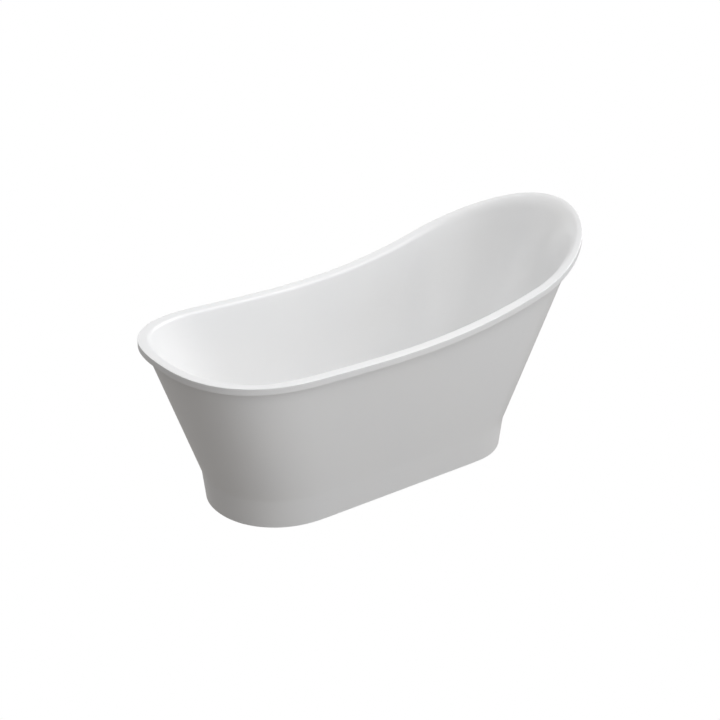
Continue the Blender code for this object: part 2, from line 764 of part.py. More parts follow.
def build_plug(axis, disc_top):
    """The plug at rest: shut, its seal on the flange. The plunger runs in the click cartridge."""
    seal_bottom = disc_top + GAP
    seal_top = seal_bottom + PLUG_SEAL_THICKNESS
    cap_bottom = seal_top + GAP
    guide = PLUG_RADIUS - 0.0075
    guide_bottom = cap_bottom - 0.0015
    stem_bottom = cap_bottom - PLUG_NECK
    seal = ring_profile(*PLUG_SEAL_RADII, seal_bottom, seal_top)
    turned("plug_seal", seal, "rubber", parent=axis)
    crown = [(0, 1.0), (0.38, 0.95), (0.70, 0.78), (0.92, 0.50), (1.0, 0.20), (1.0, 0.0)]
    turned(
        "drain_plug",
        [(PLUG_RADIUS * across, cap_bottom + PLUG_HEIGHT * up) for across, up in crown]
        + [
            (guide, cap_bottom),
            (guide, guide_bottom),
            (PLUG_NECK_RADIUS, guide_bottom),
            (PLUG_NECK_RADIUS, stem_bottom),
            (0, stem_bottom),
        ],
        "chrome",
        parent=axis,
    )
    foot_bottom, foot_top = PLUNGER_SPAN
    turned(
        "plug_plunger",
        [
            (0, stem_bottom - GAP),
            (PLUNGER_RADIUS, stem_bottom - GAP),
            (PLUNGER_RADIUS, foot_top),
            (PLUNGER_FOOT_RADIUS, foot_top),
            (PLUNGER_FOOT_RADIUS, foot_bottom),
            (0, foot_bottom),
        ],
        "brass",
        SMALL_STEPS,
        parent=axis,
    )
    build_cartridge(axis)
    build_spring(axis)


def build_cartridge(axis):
    """The tube in the flange's hub that holds the spring and guides the plunger."""
    top = HUB_TOP + CARTRIDGE_RISE
    floor = CARTRIDGE_BOTTOM + 0.002
    lid = top - 0.0015
    turned(
        "plug_cartridge",
        [
            (CARTRIDGE_RADIUS, top),
            (CARTRIDGE_RADIUS, CARTRIDGE_BOTTOM),
            (0, CARTRIDGE_BOTTOM),
            (0, floor),
            (CARTRIDGE_BORE, floor),
            (CARTRIDGE_BORE, lid),
            (CARTRIDGE_MOUTH, lid),
            (CARTRIDGE_MOUTH, top),
            (CARTRIDGE_RADIUS, top),
        ],
        "brass",
        ROUND_STEPS,
        parent=axis,
    )


def build_spring(axis):
    """The click cartridge's compression spring, a helix of round wire."""
    bottom, top = SPRING_SPAN
    steps = SPRING_TURNS * STEPS_PER_TURN
    rise = top - bottom - 2 * SPRING_WIRE
    points = [
        (
            SPRING_RADIUS * math.cos(math.tau * step / STEPS_PER_TURN),
            SPRING_RADIUS * math.sin(math.tau * step / STEPS_PER_TURN),
            bottom + SPRING_WIRE + rise * step / steps,
        )
        for step in range(steps + 1)
    ]
    add_object("plug_spring", tube_mesh("plug_spring", points, SPRING_WIRE, sides=0), "spring_steel", axis)


def pointed(name, radius, start, end, frame, place, turn):
    """A cylinder helper lying on a frame, turned about the frame's Y axis."""
    helper = cylinder_cutter(name, radius, start, end, parent=frame, place=place)
    helper.rotation_euler = (0, turn, 0)
    return helper


def build_shoe_and_trap(axis):
    """The drain shoe with its overflow port and dip tube, and the bottle trap around that tube."""
    seal_top = UNDERSIDE - GAP
    seal_bottom = seal_top - SEAL_THICKNESS
    turned("drain_seal_lower", ring_profile(SEAL_BORE, 0.038, seal_bottom, seal_top), "rubber", parent=axis)
    shoe_top = seal_bottom - GAP
    shoulder = SHOE_PORT_HEIGHT - SPIGOT_RADIUS
    shoe = turned(
        "drain_shoe",
        [
            (0.040, shoe_top),
            (0.040, shoe_top - 0.004),
            (SHOE_RADIUS, shoe_top - 0.004),
            (SHOE_RADIUS, shoulder - 0.002),
            (DIP_RADIUS, shoulder - 0.0055),
            (DIP_RADIUS, DIP_BOTTOM),
            (DIP_BORE, DIP_BOTTOM),
            (DIP_BORE, shoulder - 0.0035),
            (SHOE_BORE, shoulder),
            (SHOE_BORE, shoe_top),
        ],
        "white_plastic",
        parent=axis,
    )
    port_place = (0, 0, SHOE_PORT_HEIGHT)
    port = pointed("shoe_port", SPIGOT_RADIUS, 0.025, SHOE_PORT_END, axis, port_place, -math.pi / 2)
    port_bore = pointed("shoe_port_bore", SPIGOT_BORE, 0.010, 0.070, axis, port_place, -math.pi / 2)
    cut(join(shoe, port), port_bore)
    inside = TRAP_RADIUS - TRAP_WALL
    trap = turned(
        "trap_body",
        [
            (TRAP_NECK_RADIUS, TRAP_NECK_TOP),
            (TRAP_NECK_RADIUS, TRAP_TOP + 0.002),
            (TRAP_RADIUS - 0.003, TRAP_TOP),
            (TRAP_RADIUS, TRAP_TOP - 0.005),
            (TRAP_RADIUS, TRAP_BOTTOM + 0.006),
            (TRAP_RADIUS - 0.006, TRAP_BOTTOM),
            (0, TRAP_BOTTOM),
            (0, TRAP_BOTTOM + TRAP_WALL),
            (TRAP_RADIUS - 0.007, TRAP_BOTTOM + TRAP_WALL),
            (inside, TRAP_BOTTOM + 0.007),
            (inside, TRAP_TOP - 0.006),
            (inside - 0.002, TRAP_TOP - TRAP_WALL),
            (TRAP_NECK_BORE, TRAP_TOP - 0.0005),
            (TRAP_NECK_BORE, TRAP_NECK_TOP),
            (TRAP_NECK_RADIUS, TRAP_NECK_TOP),
        ],
        "white_plastic",
        parent=axis,
    )
    reach = OUTLET_END_X - DRAIN_X
    spout_place = (0, 0, OUTLET_HEIGHT)
    spout = pointed("trap_spout", OUTLET_RADIUS, 0.036, reach, axis, spout_place, math.pi / 2)
    inner = OUTLET_RADIUS - 0.002
    bore = pointed("trap_spout_bore", inner, 0.025, reach + 0.02, axis, spout_place, math.pi / 2)
    cut(join(trap, spout), bore)
    thread = TRAP_NECK_RADIUS + GAP
    nut = nut_profile(
        thread, DIP_RADIUS + GAP, TRAP_NECK_RADIUS + 0.004, TRAP_TOP + 0.0023, TRAP_NECK_TOP, 0.0045
    )
    turned("trap_nut", nut, "white_plastic", parent=axis)


def nut_profile(thread, opening, outside, start, shoulder, lid):
    """A union nut: it screws over a thread from start to its shoulder, and its lid closes in to
    the opening. The two heights may run either way."""
    step = math.copysign(1, shoulder - start)
    face = shoulder + step * GAP
    end = face + step * lid
    ring = [
        (outside, end),
        (outside, start),
        (thread, start),
        (thread, face),
        (opening, face),
        (opening, end),
    ]
    return ring if step > 0 else [ring[0], *ring[:0:-1]]


# ---------------------------------------------------------------- overflow


def build_overflow(wall):
    """Overflow through the foot wall: cover, screw, seal and elbow, and the pipe to the shoe."""
    dome = [(0, 1.0), (0.55, 0.97), (0.82, 0.83), (0.97, 0.58), (1.0, 0.375)]
    inside = COVER_RADIUS - COVER_SHEET
    cover = turned(
        "overflow_cover",
        [(COVER_RADIUS * across, COVER_HEIGHT * up) for across, up in dome]
        + [(COVER_RADIUS, GAP), (inside, GAP), (inside, COVER_HEIGHT * 0.375)]
        + [(inside * 0.93, 0.0066), (inside * 0.75, 0.0083), (0, COVER_HEIGHT - COVER_SHEET)],
        "chrome",
        parent=wall,
    )
    slot_low = (*COVER_SLOT[0], -0.010)
    slot_high = (*COVER_SLOT[1], COVER_SLOT_DEPTH)
    slot = add_object("cover_slot", box_mesh("cover_slot", slot_low, slot_high), None, wall)
    cut(cover, slot, cylinder_cutter("cover_bore", 0.003, -0.01, 0.02, SMALL_STEPS, wall))
    seal_face = -(ACRYLIC + GAP + LAMINATE) - GAP
    seal_back = seal_face - SEAL_THICKNESS
    flange_face = seal_back - GAP
    flange_back = flange_face - SEAL_THICKNESS
    floor = -(PIPE_DEPTH + SPIGOT_RADIUS + 0.0005)
    seal = ring_profile(SEAL_BORE, ELBOW_FLANGE_RADIUS - 0.0005, seal_back, seal_face)
    turned("overflow_seal", seal, "rubber", parent=wall)
    elbow = turned(
        "overflow_elbow",
        [
            (ELBOW_FLANGE_RADIUS, flange_face),
            (ELBOW_FLANGE_RADIUS, flange_back),
            (ELBOW_RADIUS, flange_back),
            (ELBOW_RADIUS, floor),
            (0, floor),
            (0, floor + 0.0025),
            (ELBOW_BORE, floor + 0.0025),
            (ELBOW_BORE, flange_face),
            (ELBOW_FLANGE_RADIUS, flange_face),
        ],
        "white_plastic",
        parent=wall,
    )
    half_width, half_length, bar_thickness = ELBOW_BAR
    bar_top = flange_face - 0.001
    bar_bottom = bar_top - bar_thickness
    bar_low = (-half_width, -half_length, bar_bottom)
    bar_high = (half_width, half_length, bar_top)
    bar = add_object("elbow_bar", box_mesh("elbow_bar", bar_low, bar_high), None, wall)
    screw_bore = cylinder_cutter(
        "elbow_screw_bore", SCREW_RADIUS + GAP, bar_bottom - 0.01, bar_top + 0.01, SMALL_STEPS, wall
    )
    side = (0, 0, -PIPE_DEPTH)
    spigot = pointed("elbow_spigot", SPIGOT_RADIUS, 0.0235, ELBOW_SPIGOT_END, wall, side, math.pi / 2)
    bore = pointed("elbow_spigot_bore", SPIGOT_BORE, 0.010, 0.060, wall, side, math.pi / 2)
    cut(join(elbow, bar, spigot), screw_bore, bore)
    build_screw("overflow_screw", (0, 0, 0), COVER_HEIGHT + GAP, bar_bottom - 0.002, wall)
    build_overflow_pipe(wall)


def build_overflow_pipe(wall):
    """The pipe from the elbow down the back of the wall and round into the shoe, and its nuts."""
    bpy.context.view_layer.update()
    place = wall.matrix_world
    start = place @ Vector((ELBOW_SPIGOT_END - PIPE_ENTRY, 0, -PIPE_DEPTH))
    down = (place.to_3x3() @ Vector((1, 0, 0))).normalized()
    straight = start + down * 0.075
    end = Vector((DRAIN_X - SHOE_PORT_END + PIPE_ENTRY, 0, SHOE_PORT_HEIGHT))
    level = end - Vector((0.050, 0, 0))
    bend = interpolate_bezier(straight, straight + down * 0.20, level - Vector((0.10, 0, 0)), level, 14)
    mesh = tube_mesh("overflow_pipe", [start, *bend, end], PIPE_RADIUS, PIPE_WALL)
    pipe = add_object("overflow_pipe", mesh, "white_plastic")
    wall_thickness = pipe.modifiers.new("wall", "SOLIDIFY")
    wall_thickness.thickness = PIPE_WALL
    wall_thickness.offset = -1
    nut = nut_profile(SPIGOT_RADIUS + GAP, PIPE_RADIUS + GAP, UNION_RADIUS, -0.010, 0, 0.003)
    upper = turned("overflow_nut_upper", nut, "white_plastic", 16, wall, (ELBOW_SPIGOT_END, 0, -PIPE_DEPTH))
    upper.rotation_euler = (0, math.pi / 2, 0)
    lower_place = (DRAIN_X - SHOE_PORT_END, 0, SHOE_PORT_HEIGHT)
    lower = turned("overflow_nut_lower", nut, "white_plastic", 16, None, lower_place)
    lower.rotation_euler = (0, -math.pi / 2, 0)


# ---------------------------------------------------------------- main


def main():
    clear_scene()
    new_collection("bathtub")
    new_collection("cutters")
    wall = overflow_frame()
    drain_hole, drain_seat = drain_axis_cutters()
    overflow_hole = cylinder_cutter("overflow_hole", OVERFLOW_HOLE_RADIUS, -0.03, 0.02, parent=wall)
    overflow_seat = cylinder_cutter("overflow_seat", OVERFLOW_SEAT_RADIUS, 0, 0.02, parent=wall)
    build_basin(drain_hole, drain_seat, overflow_hole, overflow_seat)
    build_laminate(drain_hole, overflow_hole)
    build_apron()
    build_frame()
    for number, (x, y) in enumerate(FEET, 1):
        build_foot(number, x, y)
    build_drain()
    build_overflow(wall)


main()
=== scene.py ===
"""Looks for the freestanding slipper bath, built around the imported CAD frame.

Metres, the CAD's own axes: +X to the raised head end, +Z up, origin on the floor. A finer piece
replaces every CAD node, in the same place and of the same size. The three shells (basin, laminate
and apron) are lofted from the same outlines that the CAD uses. The fittings are turned pieces with
their threads and ribs, and the frame's tubes and timber are bored for the screws and studs.
"""

import json
import math

import bmesh
import bpy
from mathutils import Matrix, Vector, noise as fractal
from mathutils.geometry import interpolate_bezier


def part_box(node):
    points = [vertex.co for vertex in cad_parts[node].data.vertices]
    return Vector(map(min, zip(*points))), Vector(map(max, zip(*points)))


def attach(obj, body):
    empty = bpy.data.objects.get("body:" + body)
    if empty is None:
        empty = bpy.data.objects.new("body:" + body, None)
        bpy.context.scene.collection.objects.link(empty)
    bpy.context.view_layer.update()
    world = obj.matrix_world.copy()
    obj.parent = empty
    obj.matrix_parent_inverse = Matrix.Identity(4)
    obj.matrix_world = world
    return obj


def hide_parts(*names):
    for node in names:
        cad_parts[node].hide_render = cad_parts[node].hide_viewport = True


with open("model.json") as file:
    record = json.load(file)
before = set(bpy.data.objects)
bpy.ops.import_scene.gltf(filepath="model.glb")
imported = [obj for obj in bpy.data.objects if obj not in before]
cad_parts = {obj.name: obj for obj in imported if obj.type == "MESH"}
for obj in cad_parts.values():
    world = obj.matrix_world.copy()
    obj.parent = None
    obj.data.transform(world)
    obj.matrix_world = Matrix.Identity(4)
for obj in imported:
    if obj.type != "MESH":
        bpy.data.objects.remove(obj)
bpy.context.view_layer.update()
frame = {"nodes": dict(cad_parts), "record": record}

# ---------------- sizes, as in the CAD

LENGTH = 1.700
WIDTH = 0.720
RIM_LOW = 0.583
RIM_LOW_X = -0.150
FOOT_RISE = 0.033
HEAD_RISE = 0.229
FOOT_CURVE = 1.6
HEAD_CURVE = 2.27
RIM_WIDTH = 0.041
RIM_LIP = 0.0235
RIM_EDGE = 0.0030
RIM_FILLET = 0.012
HEAD_FILLET = 0.018
HEAD_FILLET_X = 0.150
APRON_RECESS = 0.0220
ACRYLIC = 0.005
LAMINATE = 0.004
APRON_SHEET = 0.004
GAP = 0.0003
RIM_OUTLINE = (WIDTH / 2, -LENGTH / 2, 0.375, LENGTH / 2, 0.400, 2.5, 2.0)
CREASE_OUTLINE = (0.263, -0.667, 0.276, 0.5265, 0.236, 2.1, 2.0)
KNEE_OUTLINE = (0.215, -0.555, 0.200, 0.450, 0.360, 2.2, 2.2)
FLOOR_OUTLINE = (0.150, -0.512, 0.142, 0.350, 0.260, 2.2, 2.2)
FILLET_MIDDLE = (0.72, 0.22)
FILLET_END = (1.25, 1.0)
CREASE_HEIGHT = 0.110
PLINTH_TAPER = 0.0125
SHADOW_GAP = 0.001
FLOOR_LEVEL = 0.130
KNEE_PULL = 0.62
WALL_PULL = 0.66
LAMINATE_TOP = 5 / 6  # how far up the wall's curve the laminate reaches
DRAIN_X = -0.455
DRAIN_HOLE_RADIUS = 0.026
DRAIN_SEAT_RADIUS = 0.0375
DRAIN_SEAT_DEPTH = 0.003
DRAIN_CUT = (0.09, 0.16)  # heights that the drain's cutters span
OVERFLOW_HEIGHT = 0.450
OVERFLOW_HOLE_RADIUS = 0.0245
OVERFLOW_SEAT_RADIUS = 0.0345
OVERFLOW_CUT = (-0.03, 0.02)  # the same along the overflow's axis

# Support frame
TUBE_WALL = 0.0015
CLEARANCE = 0.0004  # round what goes through a bore
SCREW_RADIUS = 0.0022
SCREW_HEAD_RADIUS = 0.0045
SCREW_HEAD_HEIGHT = 0.002
SCREW_BITE = 0.0103
BLOCK_LEAN = 0.0034  # how far the blocks' outer faces lean with the plinth
NUT_WIDTH = 0.019  # across the locknuts' flats

# Trap, shoe, pipe and elbow
TRAP_NECK = 0.025
SPIGOT_RADIUS = 0.0120
SPIGOT_BORE = 0.0103
SPIGOT_END = 0.048  # from the overflow's axis
PORT_END = 0.060  # from the drain's axis
PORT_HEIGHT = 0.090
PIPE_DEPTH = 0.0268  # the pipe's axis behind the inside wall
PIPE_RADIUS = 0.010
PIPE_WALL = 0.0013
PIPE_ENTRY = 0.016
ELBOW_RADIUS = 0.0265
ELBOW_BORE = 0.0240
ELBOW_FLANGE_RADIUS = 0.034
ELBOW_BAR = (0.005, 0.0255, 0.005)  # half width, half length, thickness
FLANGE_FACE = -(ACRYLIC + LAMINATE + 3 * GAP + 0.003)  # behind the wall, the laminate and the seal
SEAL_BORE = 0.0262

# Finer steps than the CAD's
CAP_STEPS = 44
SIDE_STEPS = 24
WALL_STEPS = 36
CREASE_STEPS = 8
BODY_STEPS = 20
PLINTH_STEPS = 6
EASE = 0.028  # how far the outlines' curvature is evened out
LIP_EDGE = 0.0012  # rounding of the lip's lower corner


# ---------------- outlines and rings


def quarter_turn(steps):
    """Angles from zero up to a right angle."""
    return [math.pi / 2 * step / steps for step in range(steps + 1)]


def quarter_cap(length, half_width, power):
    """A quarter of a superellipse, from its tip to its widest point."""
    cap = [
        (length * math.cos(angle) ** (2 / power), half_width * math.sin(angle) ** (2 / power))
        for angle in quarter_turn(CAP_STEPS)[:-1]
    ]
    return [*cap, (0.0, half_width)]


def eased(points, reach):
    """The closed outline with its curvature evened out along that reach, and its length kept."""
    count = len(points)
    spans = [math.dist(points[i], points[(i + 1) % count]) for i in range(count)]
    around = sum(spans)
    along = [sum(spans[:i]) for i in range(count)]
    result = []
    for i in range(count):
        total, x, y = 0.0, 0.0, 0.0
        for j in range(count):
            apart = abs(along[i] - along[j])
            apart = min(apart, around - apart)
            if apart < 4 * reach:
                weight = math.exp(-0.5 * (apart / reach) ** 2) * (spans[j] + spans[j - 1])
                total += weight
                x += weight * points[j][0]
                y += weight * points[j][1]
        result.append((x / total, y / total))
    head, foot = points[0][0] / result[0][0], points[count // 2][0] / result[count // 2][0]
    return [(x * (head if x > 0 else foot), y) for x, y in result]


def outline(half_width, foot_x, foot_cap, head_x, head_cap, foot_power, head_power):
    """Closed outline from the head's tip along +Y to the foot's tip and back along -Y."""
    head_start = head_x - head_cap
    foot_start = foot_x + foot_cap
    head = [(head_start + x, y) for x, y in quarter_cap(head_cap, half_width, head_power)]
    foot = [(foot_start - x, y) for x, y in quarter_cap(foot_cap, half_width, foot_power)]
    span = foot_start - head_start
    side = [(head_start + span * step / SIDE_STEPS, half_width) for step in range(1, SIDE_STEPS)]
    half = head + side + foot[::-1]
    return eased(half + [(x, -y) for x, y in half[-2:0:-1]], EASE)


def inset_each(points, distances):
    """The closed outline with each point moved inwards by its own distance."""
    moved = []
    for i, (point, distance) in enumerate(zip(points, distances)):
        here = Vector(point)
        before = (here - Vector(points[i - 1])).normalized()
        after = (Vector(points[(i + 1) % len(points)]) - here).normalized()
        inward = Vector((-before.y - after.y, before.x + after.x)).normalized()
        mitre = max(0.5, inward.dot(Vector((-after.y, after.x))))
        moved.append(tuple(here + inward * distance / mitre))
    return moved


def inset(points, distance):
    return inset_each(points, [distance] * len(points))


def rim_height(x):
    """Height of the rim's top: lowest near the middle, rising to both ends."""
    if x < RIM_LOW_X:
        return RIM_LOW + FOOT_RISE * ((RIM_LOW_X - x) / (LENGTH / 2 + RIM_LOW_X)) ** FOOT_CURVE
    return RIM_LOW + HEAD_RISE * ((x - RIM_LOW_X) / (LENGTH / 2 - RIM_LOW_X)) ** HEAD_CURVE


def level_ring(points, height):
    return [Vector((x, y, height)) for x, y in points]


RIM_POINTS = outline(*RIM_OUTLINE)


def rim_ring(distance, drop):
    """A ring in from the rim's edge and down from its top."""
    return [Vector((x, y, rim_height(x) - drop)) for x, y in inset(RIM_POINTS, distance)]


def fillet_radius(x):
    """Radius of the roll from the rim into the inside wall. It grows towards the head."""
    toward_head = max(0.0, (x - HEAD_FILLET_X) / (LENGTH / 2 - HEAD_FILLET_X))
    return RIM_FILLET + HEAD_FILLET * toward_head**2


def fillet_ring(across, down, depth=0.0):
    """A ring on that roll, its place across and down given in shares of the radius."""
    radii = [fillet_radius(x) for x, _ in RIM_POINTS]
    moved = inset_each(RIM_POINTS, [RIM_WIDTH + (across - 1) * radius for radius in radii])
    return [Vector((x, y, rim_height(x) - down * radius - depth)) for (x, y), radius in zip(moved, radii)]


def arc(start, corner, end, steps):
    """Points on the quadratic curve from start to end that corner pulls on."""
    shares = [step / steps for step in range(steps + 1)]
    return [start * (1 - t) ** 2 + corner * 2 * t * (1 - t) + end * t**2 for t in shares]


def rounded(start, corner, end, steps):
    """Rings that round a corner of the rim's section, each point given as (inset, drop)."""
    return [rim_ring(*point) for point in arc(Vector(start), Vector(corner), Vector(end), steps)]


def fillet_rings(steps):
    """The roll from the top of the inside wall up to the rim, in line with both."""
    columns = []
    for wall_top, rim_edge, knee in zip(fillet_ring(*FILLET_END), fillet_ring(0, 0), knee_ring()):
        corner = wall_top
        for _ in range(4):
            rise = (rim_height(corner.x) - wall_top.z) / (wall_top.z - knee.z)
            corner = wall_top + (wall_top - knee) * rise
        columns.append(arc(wall_top, corner, rim_edge, steps))
    return [list(ring) for ring in zip(*columns)]


def knee_ring():
    return level_ring(outline(*KNEE_OUTLINE), FLOOR_LEVEL)


def wall_rings(steps=WALL_STEPS):
    """The inside wall from the floor's outline up to the roll, each column a curve past the knee."""
    floor = level_ring(outline(*FLOOR_OUTLINE), FLOOR_LEVEL)
    columns = [
        interpolate_bezier(a, a.lerp(k, KNEE_PULL), b.lerp(k, WALL_PULL), b, steps + 1)
        for a, k, b in zip(floor, knee_ring(), fillet_ring(*FILLET_END))
    ]
    return [list(ring) for ring in zip(*columns)]


def outward(rings, distance):
    """The same rings moved out of the bath along the surface's normals."""
    count = len(rings[0])
    moved = []
    for row, ring in enumerate(rings):
        below = rings[max(row - 1, 0)]
        above = rings[min(row + 1, len(rings) - 1)]
        new_ring = []
        for i, point in enumerate(ring):
            around = ring[(i + 1) % count] - ring[i - 1]
            normal = around.cross(above[i] - below[i]).normalized() if row else Vector((0, 0, -1))
            new_ring.append(point + normal * distance)
        moved.append(new_ring)
    return moved


# ---------------- meshes


def full_turn(steps):
    """Even angles round a circle."""
    return [math.tau * step / steps for step in range(steps)]


def polar(radius, angle, height):
    return radius * math.cos(angle), radius * math.sin(angle), height


def finish_mesh(bm, sharp=32):
    bmesh.ops.recalc_face_normals(bm, faces=bm.faces)
    mesh = bpy.data.meshes.new("mesh")
    bm.to_mesh(mesh)
    bm.free()
    mesh.shade_smooth()
    mesh.set_sharp_from_angle(angle=math.radians(sharp))
    return mesh


def loft(rings, closed=False):
    """A skin over rings with the same number of points. Unless it is closed, its ends are capped."""
    bm = bmesh.new()
    rows = [[bm.verts.new(point) for point in ring] for ring in rings]
    count = len(rows[0])
    pairs = list(zip(rows, rows[1:])) + ([(rows[-1], rows[0])] if closed else [])
    for row, next_row in pairs:
        for i in range(count):
            j = (i + 1) % count
            bm.faces.new((row[i], row[j], next_row[j], next_row[i]))
    if not closed:
        bm.faces.new(rows[0])
        bm.faces.new(rows[-1])
    return finish_mesh(bm)


def lathe(profile, steps=96, place=None):
    """A turned mesh about Z. A profile that never touches the axis closes into a ring."""
    bm = bmesh.new()
    rows = []
    for radius, height in profile:
        angles = full_turn(steps) if radius > 1e-6 else [0]
        rows.append([bm.verts.new(polar(radius, angle, height)) for angle in angles])
    ring = all(len(row) > 1 for row in rows)
    pairs = list(zip(rows, rows[1:])) + ([(rows[-1], rows[0])] if ring else [])
    for row, other in pairs:
        for i in range(steps):
            j = (i + 1) % steps
            corners = (row[i % len(row)], row[j % len(row)], other[j % len(other)], other[i % len(other)])
            corners = list(dict.fromkeys(corners))
            if len(corners) > 2:
                bm.faces.new(corners)
    if place is not None:
        bmesh.ops.transform(bm, matrix=place, verts=bm.verts)
    return finish_mesh(bm)


def rod(radius, bottom, top, **options):
    """A plain cylinder mesh, for cutting or joining."""
    return lathe([(0, top), (radius, top), (radius, bottom), (0, bottom)], **options)


def block(low, high, bevel=0.0, steps=3, place=None):
    """A box mesh between two corners, its edges rounded."""
    bm = bmesh.new()
    bmesh.ops.create_cube(bm, size=1)
    size = [b - a for a, b in zip(low, high)]
    centre = [(a + b) / 2 for a, b in zip(low, high)]
    bmesh.ops.transform(bm, matrix=Matrix.Translation(centre) @ Matrix.Diagonal((*size, 1)), verts=bm.verts)
    if bevel:
        bmesh.ops.bevel(bm, geom=bm.edges[:], offset=bevel, segments=steps, profile=0.5, affect="EDGES")
    if place is not None:
        bmesh.ops.transform(bm, matrix=place, verts=bm.verts)
    return finish_mesh(bm)


def around(count, offset=0.0):
    """Even turns about Z. The offset, in shares of a step, keeps ribs off a turned piece's facets."""
    return [Matrix.Rotation(math.tau * (i + offset) / count, 4, "Z") for i in range(count)]


def crossed_bars(half_length, half_width, bottom, top, bevel=0.0):
    """Two bars across each other: a hub's spokes, or the cutters of a screw's cross recess."""
    low, high = (-half_length, -half_width, bottom), (half_length, half_width, top)
    return [block(low, high, bevel, place=turn) for turn in around(4)[:2]]


def fin(section, half_thickness, turn):
    """A flat rib with that section of (radius, height) points, turned about Z to its place."""
    sides = [[turn @ Vector((r, y, z)) for r, z in section] for y in (-half_thickness, half_thickness)]
    return loft(sides)


def ridged(radius, depth, start, end, pitch):
    """Profile points of a thread's ridges along a turned piece."""
    count = int(abs(end - start) / pitch)
    step = (end - start) / count
    return [(radius - depth * (half % 2), start + step * half / 2) for half in range(2 * count + 1)]


def add_object(name, data):
    obj = bpy.data.objects.new(name, data)
    bpy.context.scene.collection.objects.link(obj)
    return obj


def combined(mesh, operation, *others):
    """The mesh joined to the others (UNION), without them (DIFFERENCE) or within them (INTERSECT)."""
    work = add_object("work", mesh)
    helpers = [add_object("helper", other) for other in others]
    for helper in helpers:
        boolean = work.modifiers.new("combine", "BOOLEAN")
        boolean.operation = operation
        boolean.solver = "EXACT"
        boolean.object = helper
    bm = bmesh.new()
    bm.from_object(work, bpy.context.evaluated_depsgraph_get())
    bmesh.ops.remove_doubles(bm, verts=bm.verts, dist=1e-6)
    for obj in [work, *helpers]:
        bpy.data.objects.remove(obj)
    return finish_mesh(bm)


def piece(name, mesh, slot, *nodes, body="bath", place=None):
    """Adds a finished piece that rides on a body and stands for the CAD nodes named."""
    mesh.name = name
    if place is not None:
        mesh.transform(place)
    obj = add_object(name, mesh)
    mesh.materials.clear()
    mesh.materials.append(MATERIALS[slot])
    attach(obj, body)
    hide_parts(*nodes)


def levels(node_name):
    """Bottom and top of a node's CAD box."""
    low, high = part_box(node_name)
    return low.z, high.z


def upright_axis(node_name):
    """Where an upright piece stands, from the middle of its CAD box."""
    low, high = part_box(node_name)
    return Matrix.Translation(((low.x + high.x) / 2, (low.y + high.y) / 2, 0))


# ---------------- materials


def node(tree, kind, **settings):
    """Adds a shader node, to the right of the ones before it."""
    made = tree.nodes.new(kind)
    made.location = (200 * len(tree.nodes), 0)
    for key, value in settings.items():
        setattr(made, key, value)
    return made


def base_material(name, colour, roughness, metallic=0.0, **sockets):
    """A Principled material. Returns it with its tree and shader, for the detail to be added to."""
    material = bpy.data.materials.new(name)
    material.use_nodes = True
    tree = material.node_tree
    shader = tree.nodes["Principled BSDF"]
    shader.inputs["Base Color"].default_value = (*colour, 1)
    shader.inputs["Roughness"].default_value = roughness
    shader.inputs["Metallic"].default_value = metallic
    for socket, value in sockets.items():
        shader.inputs[socket.replace("_", " ")].default_value = value
    return material, tree, shader


def noise(tree, scale, detail, stretch=(1, 1, 1)):
    """Noise in object coordinates, so it stays on the piece as it moves."""
    coords = node(tree, "ShaderNodeTexCoord")
    mapping = node(tree, "ShaderNodeMapping")
    mapping.inputs["Scale"].default_value = stretch
    texture = node(tree, "ShaderNodeTexNoise")
    texture.inputs["Scale"].default_value = scale
    texture.inputs["Detail"].default_value = detail
    tree.links.new(coords.outputs["Object"], mapping.inputs["Vector"])
    tree.links.new(mapping.outputs["Vector"], texture.inputs["Vector"])
    return texture.outputs["Fac"]


def spread(tree, value, low, high):
    """Maps a 0.3 to 0.7 noise onto low to high."""
    ramp = node(tree, "ShaderNodeMapRange")
    for socket, limit in (("From Min", 0.3), ("From Max", 0.7), ("To Min", low), ("To Max", high)):
        ramp.inputs[socket].default_value = limit
    tree.links.new(value, ramp.inputs["Value"])
    return ramp.outputs["Result"]


def tint(tree, shader, value, first, second):
    """Varies the base colour between two colours."""
    blend = node(tree, "ShaderNodeMix", data_type="RGBA")
    blend.inputs["A"].default_value = (*first, 1)
    blend.inputs["B"].default_value = (*second, 1)
    tree.links.new(spread(tree, value, 0, 1), blend.inputs["Factor"])
    tree.links.new(blend.outputs["Result"], shader.inputs["Base Color"])


def add_bump(tree, shader, height, strength, distance):
    bump = node(tree, "ShaderNodeBump")
    bump.inputs["Strength"].default_value = strength
    bump.inputs["Distance"].default_value = distance
    tree.links.new(height, bump.inputs["Height"])
    tree.links.new(bump.outputs["Normal"], shader.inputs["Normal"])


def acrylic_material():
    """Polished white acrylic: even colour, a faint vacuum-forming ripple and a soft gloss."""
    material, tree, shader = base_material(
        "acrylic_white", (0.80, 0.80, 0.80), 0.38, IOR=1.49, Coat_Weight=0.10, Coat_Roughness=0.20
    )
    tint(tree, shader, noise(tree, 3.5, 2.0), (0.795, 0.796, 0.798), (0.806, 0.805, 0.802))
    tree.links.new(spread(tree, noise(tree, 28, 4.0), 0.35, 0.41), shader.inputs["Roughness"])
    add_bump(tree, shader, noise(tree, 9, 1.0), 0.03, 0.002)
    return material


def simple_material(name, colour, other, roughness, scale, bump, metallic=0.0, depth=0.0003,
                    stretch=(1, 1, 1), **sockets):
    """Two close colours, roughness that varies round its value, and a fine bump, all from noise."""
    material, tree, shader = base_material(name, colour, roughness, metallic, **sockets)
    grain = noise(tree, scale, 4.0, stretch)
    tint(tree, shader, grain, colour, other)
    polish = spread(tree, grain, roughness * 0.85, roughness * 1.15)
    tree.links.new(polish, shader.inputs["Roughness"])
    if bump:
        add_bump(tree, shader, grain, bump, depth)
    return material


